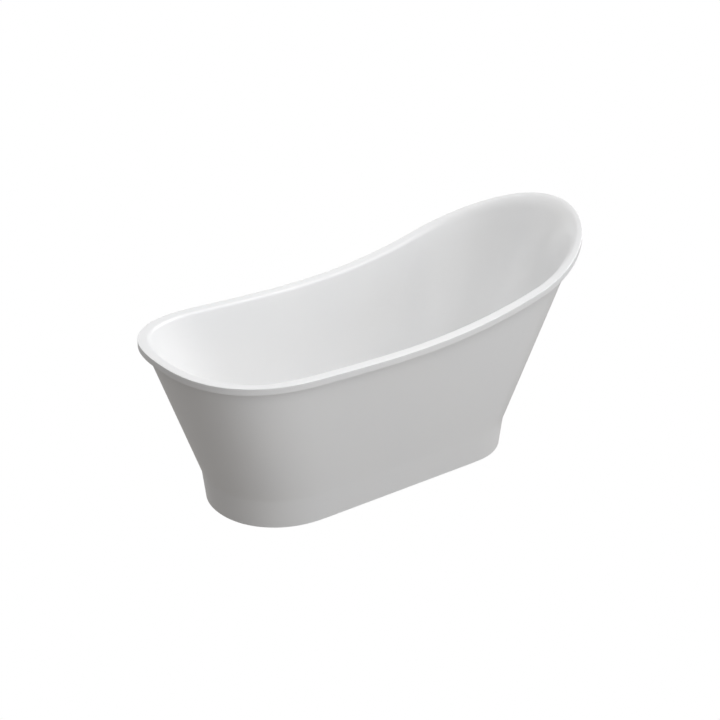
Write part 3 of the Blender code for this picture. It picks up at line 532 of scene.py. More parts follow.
def metal(name, colour, other, roughness, scale, bump):
    return simple_material(name, colour, other, roughness, scale, bump, 1.0)


MATERIALS = {  # name, two colours, roughness, noise scale and bump strength
    "acrylic": acrylic_material(),
    "laminate": simple_material(
        "fibreglass_laminate", (0.62, 0.60, 0.50), (0.74, 0.72, 0.64), 0.55, 90, 0.6,
        depth=0.001, stretch=(1, 4, 1), Coat_Weight=0.2,
    ),
    "chipboard": simple_material("chipboard", (0.50, 0.36, 0.22), (0.72, 0.57, 0.38), 0.85, 220, 0.5),
    "softwood": simple_material(
        "softwood", (0.62, 0.45, 0.26), (0.78, 0.62, 0.40), 0.75, 40, 0.3, stretch=(1, 14, 14)
    ),
    "galvanised": metal("galvanised_steel", (0.50, 0.52, 0.54), (0.66, 0.68, 0.70), 0.42, 70, 0.05),
    "zinc": metal("zinc_plate", (0.66, 0.67, 0.68), (0.74, 0.75, 0.76), 0.30, 180, 0.05),
    "chrome": metal("chrome_plate", (0.80, 0.81, 0.82), (0.84, 0.85, 0.86), 0.07, 40, 0.0),
    "brass": metal("machined_brass", (0.70, 0.54, 0.26), (0.78, 0.62, 0.34), 0.28, 160, 0.05),
    "spring_steel": metal("spring_steel", (0.50, 0.51, 0.53), (0.60, 0.61, 0.63), 0.28, 200, 0.05),
    "rubber": simple_material("black_rubber", (0.025, 0.025, 0.025), (0.05, 0.05, 0.05), 0.80, 240, 0.2),
    "white_plastic": simple_material(
        "white_moulding", (0.76, 0.76, 0.74), (0.80, 0.80, 0.78), 0.42, 140, 0.08
    ),
    "black_plastic": simple_material(
        "black_moulding", (0.03, 0.03, 0.033), (0.06, 0.06, 0.065), 0.50, 260, 0.15
    ),
}

for entry in frame["record"]["subparts"]:
    cad_mesh = frame["nodes"][entry["node"]].data
    cad_mesh.materials.clear()
    cad_mesh.materials.append(MATERIALS[entry["material_slot"]])


# ---------------- shells


def overflow_matrix():
    """Places a piece on the foot wall: Z points into the bath, X points down the wall."""
    foot_tip = CAP_STEPS * 2 + SIDE_STEPS
    column = [ring[foot_tip] for ring in wall_rings(200)]
    upper = next(i for i, point in enumerate(column) if point.z > OVERFLOW_HEIGHT)
    slope = column[upper + 8] - column[upper - 8]
    return Matrix.Translation(column[upper]) @ Matrix.Rotation(math.atan2(slope.z, -slope.x), 4, "Y")


DRAIN_AXIS = Matrix.Translation((DRAIN_X, 0, 0))
OVERFLOW_AXIS = overflow_matrix()
PORT_TURN = Matrix.Translation((0, 0, PORT_HEIGHT)) @ Matrix.Rotation(-math.pi / 2, 4, "Y")
OUTLET_TURN = Matrix.Translation((0, 0, -PIPE_DEPTH)) @ Matrix.Rotation(math.pi / 2, 4, "Y")


def build_basin():
    """The acrylic shell: inside wall, roll, flat rim and turned-down lip, and the same again below."""
    walls = wall_rings()
    rings = (
        walls
        + fillet_rings(14)[1:]
        + rounded((RIM_EDGE, 0), (0, 0), (0, RIM_EDGE), 8)
        + rounded((0, RIM_LIP - LIP_EDGE), (0, RIM_LIP), (LIP_EDGE, RIM_LIP), 4)
        + [rim_ring(ACRYLIC, RIM_LIP), rim_ring(ACRYLIC, ACRYLIC)]
        + [fillet_ring(0, 0, ACRYLIC), fillet_ring(*FILLET_MIDDLE, ACRYLIC)]
        + outward(walls[::3], ACRYLIC)[::-1]
    )
    seat = FLOOR_LEVEL - DRAIN_SEAT_DEPTH
    soft = 0.0012  # rounding of the drain recess's edge
    below, above = DRAIN_CUT
    drain = [
        (0, above),
        (DRAIN_SEAT_RADIUS + soft, above),
        (DRAIN_SEAT_RADIUS + soft, FLOOR_LEVEL + 0.00003),  # a hair up, so that no two faces coincide
        (DRAIN_SEAT_RADIUS + soft * 0.3, FLOOR_LEVEL - soft * 0.3),
        (DRAIN_SEAT_RADIUS, FLOOR_LEVEL - soft),
        (DRAIN_SEAT_RADIUS, seat),
        (DRAIN_HOLE_RADIUS, seat),
        (DRAIN_HOLE_RADIUS, below),
        (0, below),
    ]
    back, front = OVERFLOW_CUT
    overflow = [
        (0, front),
        (OVERFLOW_SEAT_RADIUS, front),
        (OVERFLOW_SEAT_RADIUS, 0),
        (OVERFLOW_HOLE_RADIUS, 0),
        (OVERFLOW_HOLE_RADIUS, back),
        (0, back),
    ]
    holes = [lathe(drain, place=DRAIN_AXIS), lathe(overflow, place=OVERFLOW_AXIS)]
    piece("basin_shell", combined(loft(rings), "DIFFERENCE", *holes), "acrylic", "basin")


def build_laminate():
    """The hand-laid glass-fibre back of the basin, a little uneven on its outer side."""
    steps = 24
    walls = wall_rings(steps)[: round(steps * LAMINATE_TOP) + 1]
    inner = outward(walls, ACRYLIC + GAP)
    outer = outward(walls, ACRYLIC + GAP + LAMINATE)
    lumpy = []
    for near, far in zip(inner, outer):
        ring = []
        for a, b in zip(near, far):
            swell = fractal.noise(b * 26) * 0.0009 + fractal.noise(b * 90) * 0.0004
            ring.append(b + (b - a).normalized() * min(swell, 0.0))
        lumpy.append(ring)
    holes = [
        rod(DRAIN_HOLE_RADIUS, *DRAIN_CUT, place=DRAIN_AXIS),
        rod(OVERFLOW_HOLE_RADIUS, *OVERFLOW_CUT, place=OVERFLOW_AXIS),
    ]
    mesh = combined(loft(inner + lumpy[::-1]), "DIFFERENCE", *holes)
    piece("laminate_shell", mesh, "laminate", "basin_laminate")


def build_apron():
    """The outer skirt: one sheet from under the lip to the floor, with a soft crease above its plinth."""
    crease = outline(*CREASE_OUTLINE)
    low = level_ring(crease, CREASE_HEIGHT)
    top = rim_ring(APRON_RECESS, RIM_LIP)

    def body_ring(share, depth=0):
        face = [c.lerp(t, share) for c, t in zip(low, top)]
        if not depth:
            return face
        moved = inset([(point.x, point.y) for point in face], depth)
        return [Vector((x, y, point.z)) for (x, y), point in zip(moved, face)]

    def plinth_ring(height, depth=0):
        taper = PLINTH_TAPER * (CREASE_HEIGHT - height) / CREASE_HEIGHT
        return level_ring(inset(crease, taper + depth), height)

    crease_top = 0.0185  # share of the body's height where the crease's rounding starts
    crease_bottom = CREASE_HEIGHT - 0.009
    plinth_drop = 0.094
    edge = 0.001  # chamfer of the plinth's bottom edge
    corners = zip(body_ring(crease_top), low, plinth_ring(crease_bottom))
    softened = [list(ring) for ring in zip(*[arc(*corner, CREASE_STEPS) for corner in corners])]
    shares = [1 - (1 - crease_top) * step / BODY_STEPS for step in range(1, BODY_STEPS + 1)]
    drops = [plinth_drop * step / PLINTH_STEPS for step in range(1, PLINTH_STEPS + 1)]
    rings = (
        [rim_ring(ACRYLIC + GAP, RIM_LIP - APRON_SHEET), rim_ring(ACRYLIC + GAP, RIM_LIP), top]
        + [body_ring(share) for share in shares]
        + softened[1:]
        + [plinth_ring(crease_bottom - drop) for drop in drops]
        + [plinth_ring(SHADOW_GAP + edge), plinth_ring(SHADOW_GAP, edge)]
        + [plinth_ring(SHADOW_GAP, APRON_SHEET), plinth_ring(CREASE_HEIGHT, APRON_SHEET)]
        + [body_ring(share, APRON_SHEET) for share in shares[::-4]]
        + [rim_ring(APRON_RECESS + APRON_SHEET, RIM_LIP - APRON_SHEET)]
    )
    piece("apron_shell", loft(rings, closed=True), "acrylic", "apron")


build_basin()
build_laminate()
build_apron()

# ---------------- drain and overflow


def build_drain_flange():
    """Polished flange with a countersunk mouth, its threaded neck, and the spoked hub inside."""
    low, top = levels("drain_flange")
    disc = top - 0.0025
    profile = [
        (0.0350, disc), (0.0350, disc + 0.0007), (0.0348, disc + 0.0013), (0.0343, disc + 0.0019),
        (0.0335, disc + 0.0023), (0.0325, top), (0.0252, top), (0.0242, top - 0.0003),
        (0.0232, top - 0.0010), (0.0200, disc - 0.0015), (0.0195, disc - 0.0030), (0.0195, low),
        (0.0215, low),
    ]
    pitch = 0.0015
    for i in range(int((disc - low - 0.004) / pitch)):
        profile += [(0.0225, low + pitch * (i + 0.5)), (0.0217, low + pitch * (i + 1))]
    profile += [(0.0225, disc - 0.003), (0.0225, disc)]
    hub_top = low + 0.010
    hub = [(0.0070, hub_top), (0.0070, low), (0.0095, low), (0.0095, hub_top - 0.0006), (0.0090, hub_top)]
    spoke, crossing = crossed_bars(0.0205, 0.0012, low + 0.001, hub_top - 0.001, 0.0004)
    spokes = combined(spoke, "UNION", crossing)
    spokes = combined(spokes, "DIFFERENCE", rod(0.0080, low - 0.01, hub_top + 0.01))
    mesh = combined(lathe(profile), "UNION", lathe(hub), spokes)
    piece("drain_flange_polished", mesh, "chrome", "drain_flange", place=DRAIN_AXIS)


def build_drain_plug():
    """Domed push-button plug with a turned edge bead."""
    low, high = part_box("drain_plug")
    bottom = low.z + 0.005
    rise = high.z - bottom
    radius = (high.x - low.x) / 2
    dome = [(0.90 * math.sin(angle), 0.45 + 0.55 * math.cos(angle)) for angle in quarter_turn(24)[:-1]]
    bead = [(0.905, 0.43), (0.920, 0.40), (0.950, 0.41), (0.980, 0.36), (0.997, 0.24), (1.0, 0.12)]
    bead += [(0.995, 0.03), (0.985, 0.0)]
    profile = [(radius * across, bottom + rise * up) for across, up in dome + bead]
    profile += [(0.0240, bottom), (0.0236, bottom - 0.0015), (0.0060, bottom - 0.0015)]
    profile += [(0.0060, bottom - 0.0046), (0.0056, bottom - 0.0050), (0, bottom - 0.0050)]
    piece("drain_plug_cap", lathe(profile, place=DRAIN_AXIS), "chrome", "drain_plug", body="plug")


def build_plug_seal():
    """The plug's seal, a ring with a round outer lip."""
    low, high = levels("plug_seal")
    middle, half = (low + high) / 2, (high - low) / 2
    angles = [math.pi * (step / 8 - 0.5) for step in range(9)]
    lip = [(0.0294 + 0.0006 * math.cos(angle), middle + half * math.sin(angle)) for angle in angles]
    mesh = lathe([(0.0250, high), (0.0250, low), *lip], place=DRAIN_AXIS)
    piece("plug_seal_lip", mesh, "rubber", "plug_seal", body="plug")


def build_overflow_cover():
    """Chrome dome with a hooded slot on its lower side, where the water goes in."""
    radius, height, shell, back = 0.033, 0.012, 0.0025, GAP
    shoulder = 0.0052
    outer = [
        (radius * math.sin(angle) ** 0.95, shoulder + (height - shoulder) * math.cos(angle) ** 0.72)
        for angle in quarter_turn(30)[:-1]
    ]
    outer[0] = (0, height)
    edge = [(radius, 0.0047), (radius, back + 0.0004), (radius - 0.0004, back)]
    inner = [(radius - shell, back), (radius - shell, 0.0040), (radius * 0.87, 0.0066)]
    inner += [(radius * 0.70, 0.0083), (radius * 0.4, 0.0092), (0, 0.0095)]
    slot = block((0.020, -0.013, -0.010), (0.042, 0.013, 0.0042), 0.0018, 4)
    sink = height - 0.0003  # floor of the shallow dish round the screw's head
    dish = lathe([(0, 0.016), (0.0056, 0.016), (0.0056, height), (0.0050, sink), (0, sink)])
    mesh = combined(lathe(outer + edge + inner), "DIFFERENCE", slot, rod(0.003, -0.01, 0.02), dish)
    piece("overflow_cover_dome", mesh, "chrome", "overflow_cover", place=OVERFLOW_AXIS)


def build_overflow_screw():
    """The cover's screw: a domed head with a cross recess."""
    shoulder, head, shank = 0.0123, 0.0045, 0.0022
    crown = [(head * math.sin(a), shoulder + 0.0006 + 0.0014 * math.cos(a)) for a in quarter_turn(12)]
    body = lathe([*crown, (head, shoulder), (shank, shoulder), (shank, -0.0208), (0, -0.0225)], 48)
    recess = crossed_bars(0.0024, 0.00045, shoulder + 0.0006, shoulder + 0.01)
    mesh = combined(body, "DIFFERENCE", *recess)
    piece("cover_screw", mesh, "zinc", "overflow_screw", place=OVERFLOW_AXIS)


build_drain_flange()
build_drain_plug()
build_plug_seal()
build_overflow_cover()
build_overflow_screw()

# ---------------- levelling feet


def build_foot_pad(number, place):
    """Moulded pad: a ribbed hub on a flared, ribbed base."""
    _, top = levels(f"foot_pad_{number}")
    socket = top - 0.026
    bore = 0.0064
    profile = [
        (0, socket), (bore, socket), (bore, top - 0.0008), (bore + 0.0008, top), (0.0102, top),
        (0.0110, top - 0.0008), (0.0110, 0.0150), (0.0122, 0.0118), (0.0150, 0.0093), (0.0200, 0.0074),
        (0.0238, 0.0062), (0.0247, 0.0055), (0.0250, 0.0045), (0.0250, 0.0010), (0.0244, 0.0002),
        (0.0238, 0.0), (0, 0.0),
    ]
    section = [(0.009, 0.004), (0.0236, 0.004), (0.0236, 0.0066), (0.009, 0.026)]
    ribs = [fin(section, 0.0011, turn) for turn in around(8)]
    mesh = combined(lathe(profile, 64), "UNION", *ribs)
    node_name, body = f"foot_pad_{number}", f"foot_{number}"
    piece(f"ribbed_pad_{number}", mesh, "black_plastic", node_name, body=body, place=place)


def build_foot_stud(number, place):
    """M12 threaded stud. Its thread is one helical skin round the rod."""
    bottom, top = levels(f"foot_stud_{number}")
    pitch, crest, root, per_turn = 0.00175, 0.0060, 0.0052, 24
    start = bottom + 0.010
    turns = int((top - start - 0.002) / pitch)
    steps = turns * per_turn
    section = ((0.0, root), (0.15, root), (0.45, crest), (0.60, crest), (0.90, root))
    bm = bmesh.new()
    rows = []
    for step in range(steps + 1):
        angle = math.tau * step / per_turn
        fade = min(1.0, step / per_turn, (steps - step) / per_turn)
        row = []
        for share, radius in section:
            height = start + pitch * (step / per_turn + share)
            row.append(bm.verts.new(polar(root + (radius - root) * fade, angle, height)))
        rows.append(row)
    for a, b in zip(rows, rows[1:]):
        for i in range(len(section) - 1):
            bm.faces.new((a[i], b[i], b[i + 1], a[i + 1]))
    for i in range(steps - per_turn):
        bm.faces.new((rows[i][-1], rows[i + 1][-1], rows[i + per_turn + 1][0], rows[i + per_turn][0]))
    first, last = rows[: per_turn + 1], rows[-per_turn - 1 :]
    ends = (
        (bottom, root, [row[0] for row in first], [*rows[0], first[-1][0]]),
        (top, root * 0.85, [row[-1] for row in last], [last[0][-1], *rows[-1]]),
    )
    for height, radius, rim, seam in ends:
        ring = [bm.verts.new(polar(radius, angle, height)) for angle in full_turn(per_turn)]
        for i in range(per_turn - 1):
            bm.faces.new((ring[i], ring[i + 1], rim[i + 1], rim[i]))
        bm.faces.new((ring[-1], ring[0], *seam, rim[-2]))
        bm.faces.new(ring)
    mesh = finish_mesh(bm, 50)
    node_name, body = f"foot_stud_{number}", f"foot_{number}"
    piece(f"threaded_stud_{number}", mesh, "zinc", node_name, body=body, place=place)


def build_locknut(number, place):
    """Hexagon nut, its corners turned off to a chamfer at both ends."""
    bottom, top = levels(f"foot_locknut_{number}")
    flat, corner = NUT_WIDTH / 2 * 0.97, NUT_WIDTH / math.sqrt(3) * 1.01
    cone = [(0, top), (flat, top), (corner, top - 0.0011)]
    cone += [(corner, bottom + 0.0011), (flat, bottom), (0, bottom)]
    bore = [(0, top + 0.001), (0.0074, top + 0.001), (0.0064, top - 0.0006)]
    bore += [(0.0064, bottom + 0.0006), (0.0074, bottom - 0.001), (0, bottom - 0.001)]
    hexagon = rod(NUT_WIDTH / math.sqrt(3), bottom, top, steps=6)
    mesh = combined(combined(hexagon, "INTERSECT", lathe(cone, 72)), "DIFFERENCE", lathe(bore, 48))
    piece(f"chamfered_locknut_{number}", mesh, "zinc", f"foot_locknut_{number}", place=place)


for number in range(1, 6):
    foot_axis = upright_axis(f"foot_pad_{number}")
    build_foot_pad(number, foot_axis)
    build_foot_stud(number, foot_axis)
    build_locknut(number, foot_axis)

# ---------------- support frame


def numbered(stem, count):
    return [f"{stem}_{number}" for number in range(1, count + 1)]


def rounded_bar(low, high, along, radius, reach=0.0, steps=5):
    """A bar of rounded square section along one axis, longer at each end by its reach."""
    u, v = [axis for axis in range(3) if axis != along]
    section = []
    for corner in range(4):
        centre_u = high[u] - radius if corner in (0, 3) else low[u] + radius
        centre_v = high[v] - radius if corner in (0, 1) else low[v] + radius
        for step in range(steps + 1):
            angle = math.pi / 2 * (corner + step / steps)
            section.append((centre_u + radius * math.cos(angle), centre_v + radius * math.sin(angle)))
    rings = []
    for end in (low[along] - reach, high[along] + reach):
        ring = []
        for across, up in section:
            point = Vector((0, 0, 0))
            point[along], point[u], point[v] = end, across, up
            ring.append(point)
        rings.append(ring)
    return loft(rings)


def upright_bores(low, high, *nodes, radius=None, top=None):
    """Cutters round the upright studs or screws that go through a box."""
    bores = []
    for name in nodes:
        axis = upright_axis(name)
        near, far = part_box(name)
        if low.x < axis.translation.x < high.x and low.y < axis.translation.y < high.y:
            size = radius or (far.x - near.x) / 2
            bores.append(rod(size + CLEARANCE, low.z - 0.01, top or high.z + 0.01, place=axis))
    return bores


def build_tube(node_name, along):
    """Square steel tube with rolled corners and open ends, bored for the studs and screws."""
    low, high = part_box(node_name)
    wall = Vector((TUBE_WALL, TUBE_WALL, TUBE_WALL))
    screws = numbered("rail_screw", 4) + numbered("block_screw", 4)
    bores = upright_bores(low, high, *numbered("foot_stud", 5))
    bores += upright_bores(low, high, *screws, radius=SCREW_RADIUS)
    hollow = rounded_bar(low + wall, high - wall, along, 0.0033 - TUBE_WALL, reach=0.01)
    mesh = combined(rounded_bar(low, high, along, 0.0033), "DIFFERENCE", hollow, *bores)
    piece(node_name.replace("frame", "steel"), mesh, "galvanised", node_name)


def build_panel():
    """Chipboard panel, its edges eased by sanding."""
    low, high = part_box("baseboard")
    screws = numbered("rail_screw", 4)
    bores = upright_bores(low, high, *screws, radius=SCREW_RADIUS, top=low.z + SCREW_BITE)
    mesh = combined(block(low, high, 0.0012), "DIFFERENCE", *bores)
    piece("eased_panel", mesh, "chipboard", "baseboard")


def build_timber(number):
    """Sawn softwood block with eased edges, its outer face leaning with the plinth."""
    low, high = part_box(f"apron_block_{number}")
    side = 1 if low.y > 0 else -1
    near, far = (low.y, high.y) if side > 0 else (high.y, low.y)
    section = [(near, low.z), (far - side * BLOCK_LEAN, low.z), (far, high.z), (near, high.z)]
    bm = bmesh.new()
    bm.from_mesh(loft([[Vector((x, y, z)) for y, z in section] for x in (low.x, high.x)]))
    bmesh.ops.bevel(bm, geom=bm.edges[:], offset=0.0012, segments=2, profile=0.5, affect="EDGES")
    screws = numbered("block_screw", 4)
    bores = upright_bores(low, high, *screws, radius=SCREW_RADIUS, top=low.z + SCREW_BITE)
    mesh = combined(finish_mesh(bm), "DIFFERENCE", *bores)
    piece(f"timber_block_{number}", mesh, "softwood", f"apron_block_{number}")


def build_wood_screw(node_name):
    """Pan-head screw, head down: ridged shank, domed head and a cross recess."""
    bottom, tip = levels(node_name)
    shoulder = bottom + SCREW_HEAD_HEIGHT
    pitch, core, neck = 0.0012, SCREW_RADIUS * 0.76, SCREW_RADIUS * 0.9
    top = tip - SCREW_RADIUS
    ridges = int((top - shoulder - 0.002) / pitch)
    profile = [(0, tip), (SCREW_RADIUS * 0.3, tip - SCREW_RADIUS * 0.7)]
    for i in range(ridges):
        profile += [(core, top - pitch * i), (SCREW_RADIUS, top - pitch * (i + 0.5))]
    profile += [(core, top - pitch * ridges), (neck, shoulder + 0.001), (neck, shoulder)]
    profile.append((SCREW_HEAD_RADIUS, shoulder))
    for angle in quarter_turn(10)[:-1]:
        radius = SCREW_HEAD_RADIUS * math.cos(angle) ** 0.8
        profile.append((radius, bottom + 0.0014 * (1 - math.sin(angle))))
    recess = crossed_bars(0.0022, 0.0004, bottom - 0.01, bottom + 0.0011)
    mesh = combined(lathe([*profile, (0, bottom)], 32), "DIFFERENCE", *recess)
    piece(f"cross_head_{node_name}", mesh, "zinc", node_name, place=upright_axis(node_name))


for rail in ("left", "right"):
    build_tube(f"frame_rail_{rail}", 0)
for bar in ("foot", "middle", "head"):
    build_tube(f"frame_crossbar_{bar}", 1)
build_panel()
for number in range(1, 5):
    build_timber(number)
    build_wood_screw(f"rail_screw_{number}")
    build_wood_screw(f"block_screw_{number}")

# ---------------- trap and overflow pipe


def build_trap():
    """Bottle trap: a moulded cup with grip ribs, a threaded neck and a threaded outlet."""
    low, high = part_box("trap_body")
    radius, skin = 0.0407, 0.0025
    top, bottom = high.z - 0.008, low.z
    profile = [
        (0, bottom + skin), (radius - skin - 0.005, bottom + skin),
        (radius - skin - 0.0015, bottom + 0.0035), (radius - skin, bottom + 0.007),
        (radius - skin, top - 0.006), (radius - skin - 0.002, top - skin),
        (TRAP_NECK - 0.0050, top - 0.0005), (TRAP_NECK - 0.0050, high.z), (TRAP_NECK - 0.0009, high.z),
        *ridged(TRAP_NECK, 0.0007, high.z - 0.0005, top + 0.0022, 0.0018),
        (TRAP_NECK - 0.0008, top + 0.0015), (TRAP_NECK + 0.002, top), (radius - 0.0035, top - 0.0004),
        (radius - 0.0010, top - 0.0022), (radius, top - 0.006), (radius, bottom + 0.0280),
        (radius + 0.0013, bottom + 0.0270), (radius + 0.0013, bottom + 0.0250), (radius, bottom + 0.0240),
        (radius, bottom + 0.007), (radius - 0.0008, bottom + 0.0035), (radius - 0.003, bottom + 0.0012),
        (radius - 0.008, bottom), (0, bottom),
    ]
    rib = (radius - 0.002, -0.0011, bottom + 0.006), (radius + 0.0012, 0.0011, bottom + 0.0255)
    ribs = [block(*rib, 0.0004, 2, turn) for turn in around(16, 0.5)]
    reach = high.x - DRAIN_X
    outlet = [(0, reach), (0.0150, reach), *ridged(0.0160, 0.0008, reach - 0.0006, reach - 0.016, 0.002)]
    outlet += [(0.0150, reach - 0.018), (0.0150, 0.036), (0, 0.036)]
    along = Matrix.Translation((0, 0, 0.040)) @ Matrix.Rotation(math.pi / 2, 4, "Y")
    mesh = combined(lathe(profile), "UNION", *ribs, lathe(outlet, 72, along))
    mesh = combined(mesh, "DIFFERENCE", rod(0.0138, 0.025, reach + 0.02, place=along))
    piece("ribbed_trap", mesh, "white_plastic", "trap_body", place=DRAIN_AXIS)


def grip_nut(thread, opening, outside, length, lid, count):
    """A union nut open at its start, at zero, with a lid at its far end and ribs to grip it by."""
    skin = outside - 0.0008
    profile = [
        (opening, length), (opening, length - lid), (thread, length - lid), (thread, 0.0006),
        (thread + 0.0005, 0), (skin - 0.0006, 0), (skin, 0.0006), (skin, length - 0.0016),
        (skin - 0.0012, length),
    ]
    rib = (skin - 0.0010, -0.0008, 0.0010), (outside, 0.0008, length - 0.0019)
    ribs = [block(*rib, 0.0003, 2, turn) for turn in around(count, 0.13)]
    return combined(lathe(profile, 72), "UNION", *ribs)


def build_nuts():
    """The trap's union nut, and the two at the overflow pipe's ends."""
    low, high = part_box("trap_nut")
    outside = (high.x - low.x) / 2
    mesh = grip_nut(TRAP_NECK + GAP, 0.0193, outside, length=high.z - low.z, lid=0.0045, count=18)
    place = DRAIN_AXIS @ Matrix.Translation((0, 0, low.z))
    piece("grip_trap_nut", mesh, "white_plastic", "trap_nut", place=place)
    overlap = 0.010  # of a nut over its spigot
    ends = (
        ("upper", OVERFLOW_AXIS @ OUTLET_TURN @ Matrix.Translation((0, 0, SPIGOT_END - overlap))),
        ("lower", DRAIN_AXIS @ PORT_TURN @ Matrix.Translation((0, 0, PORT_END - overlap))),
    )
    for name, place in ends:
        mesh = grip_nut(0.0123, PIPE_RADIUS + GAP, 0.0147, length=0.0133, lid=0.0030, count=12)
        piece(f"grip_nut_{name}", mesh, "white_plastic", f"overflow_nut_{name}", place=place)


def build_pipe():
    """The overflow's smooth bent pipe, hollow from end to end."""
    start = OVERFLOW_AXIS @ Vector((SPIGOT_END - PIPE_ENTRY, 0, -PIPE_DEPTH))
    down = (OVERFLOW_AXIS.to_3x3() @ Vector((1, 0, 0))).normalized()
    along = Vector((1, 0, 0))
    upper = start + down * 0.075  # where the bend begins and where it ends
    end = Vector((DRAIN_X - PORT_END + PIPE_ENTRY, 0, PORT_HEIGHT))
    lower = end - along * 0.050
    bend = interpolate_bezier(upper, upper + down * 0.20, lower - along * 0.10, lower, 28)
    path = [start, *bend, end]
    outer, inner = [], []
    for i, point in enumerate(path):
        ahead = (path[min(i + 1, len(path) - 1)] - path[max(i - 1, 0)]).normalized()
        across = ahead.cross(Vector((0, 1, 0)))
        spokes = [across * math.cos(a) + Vector((0, math.sin(a), 0)) for a in full_turn(40)]
        outer.append([point + spoke * (PIPE_RADIUS - 0.0002) for spoke in spokes])
        inner.append([point + spoke * (PIPE_RADIUS - PIPE_WALL) for spoke in spokes])
    piece("bent_pipe", loft(outer + inner[::-1], closed=True), "white_plastic", "overflow_pipe")


def build_spring():
    """The click cartridge's spring, a round wire wound as a helix."""
    bottom, top = levels("plug_spring")
    wire, radius, turns, per_turn = 0.0004, 0.0037, 4, 40
    up = Vector((0, 0, 1))
    section = full_turn(10)
    rings = []
    for step in range(turns * per_turn + 1):
        angle = math.tau * step / per_turn
        out = Vector((math.cos(angle), math.sin(angle), 0))
        rise = bottom + wire + (top - bottom - 2 * wire) * step / (turns * per_turn)
        centre = out * radius + up * rise
        rings.append([centre + (out * math.cos(a) + up * math.sin(a)) * wire * 0.97 for a in section])
    piece("wound_spring", loft(rings), "spring_steel", "plug_spring", place=DRAIN_AXIS)


build_trap()
build_nuts()
build_pipe()
build_spring()

# ---------------- shoe, elbow, seals and click cartridge


def spigot(end, place):
    """A short pipe stub with a moulded thread at its end. It starts deep inside the cup it joins."""
    start = 0.015
    thread = ridged(SPIGOT_RADIUS, 0.0005, end - 0.0008, end - 0.0130, 0.0016)
    profile = [(0, start), (0, end), (SPIGOT_RADIUS - 0.0006, end), *thread, (SPIGOT_RADIUS, end - 0.0140)]
    return lathe([*profile, (SPIGOT_RADIUS, start)], 72, place)


def gussets(inner, outer, top, drop, count):
    """Thin triangular ribs under a flange."""
    section = [(inner, top), (outer, top), (inner, top - drop)]
    return [fin(section, 0.0007, turn) for turn in around(count, 0.37)]


def build_shoe():
    """The drain shoe: a flanged cup with ribs under the flange, its overflow port and its dip tube."""
    bottom, top = levels("drain_shoe")
    shoulder = PORT_HEIGHT - SPIGOT_RADIUS
    outside = [
        (0, top), (0.0393, top), (0.0400, top - 0.0007), (0.0400, top - 0.0033), (0.0393, top - 0.0040),
        (0.0290, top - 0.0040), (0.0279, top - 0.0044), (0.0275, top - 0.0055), (0.0275, shoulder + 0.0005),
        (0.0268, shoulder - 0.0014), (0.0250, shoulder - 0.0029), (0.0204, shoulder - 0.0047),
        (0.0193, shoulder - 0.0056), (0.0190, shoulder - 0.0070), (0.0190, bottom + 0.0008),
        (0.0184, bottom), (0, bottom),
    ]
    inside = [
        (0, top + 0.002), (0.0271, top + 0.002), (0.0245, top - 0.0006), (0.0245, shoulder + 0.0010),
        (0.0236, shoulder - 0.0006), (0.0168, shoulder - 0.0032), (0.0165, shoulder - 0.0040),
        (0.0165, bottom + 0.0008), (0.0193, bottom - 0.002), (0, bottom - 0.002),
    ]
    ribs = gussets(0.0260, 0.0385, top - 0.0035, drop=0.010, count=10)
    mesh = combined(lathe(outside), "UNION", spigot(PORT_END, PORT_TURN), *ribs)
    mesh = combined(mesh, "DIFFERENCE", lathe(inside), rod(SPIGOT_BORE, 0.010, 0.070, place=PORT_TURN))
    piece("moulded_shoe", mesh, "white_plastic", "drain_shoe", place=DRAIN_AXIS)


def build_elbow():
    """The elbow behind the overflow: a flanged cup with a bar for the screw, and its spigot."""
    floor = -(PIPE_DEPTH + SPIGOT_RADIUS + 0.0005)
    face, back = FLANGE_FACE, FLANGE_FACE - 0.003
    soft = 0.0006
    outside = [
        (0, floor), (ELBOW_RADIUS - 0.0030, floor), (ELBOW_RADIUS - 0.0009, floor + 0.0009),
        (ELBOW_RADIUS, floor + 0.0030), (ELBOW_RADIUS, back - 0.0010), (ELBOW_RADIUS + 0.0010, back),
        (ELBOW_FLANGE_RADIUS - soft, back), (ELBOW_FLANGE_RADIUS, back + soft),
        (ELBOW_FLANGE_RADIUS, face - soft), (ELBOW_FLANGE_RADIUS - soft, face), (0, face),
    ]
    inside = [
        (0, face + 0.002), (ELBOW_BORE + 0.0026, face + 0.002), (ELBOW_BORE, face - soft),
        (ELBOW_BORE, floor + 0.0045), (ELBOW_BORE - 0.0008, floor + 0.0031),
        (ELBOW_BORE - 0.0022, floor + 0.0025), (0, floor + 0.0025),
    ]
    turn = OUTLET_TURN @ Matrix.Rotation(0.03, 4, "Z")  # keeps its facets off the cup's
    outer = ELBOW_FLANGE_RADIUS - 0.0010
    ribs = gussets(ELBOW_RADIUS - 0.0015, outer, back + 0.0005, drop=0.008, count=9)
    mesh = combined(lathe(outside), "UNION", spigot(SPIGOT_END, turn), *ribs)
    mesh = combined(mesh, "DIFFERENCE", lathe(inside), rod(SPIGOT_BORE, 0.010, 0.060, place=turn))
    half_width, half_length, thickness = ELBOW_BAR
    top = face - 0.001
    bar = block((-half_width, -half_length, top - thickness), (half_width, half_length, top), 0.0006, 2)
    bore = rod(SCREW_RADIUS + GAP, top - thickness - 0.01, top + 0.01, steps=48)
    mesh = combined(mesh, "UNION", combined(bar, "DIFFERENCE", bore))
    piece("moulded_elbow", mesh, "white_plastic", "overflow_elbow", place=OVERFLOW_AXIS)


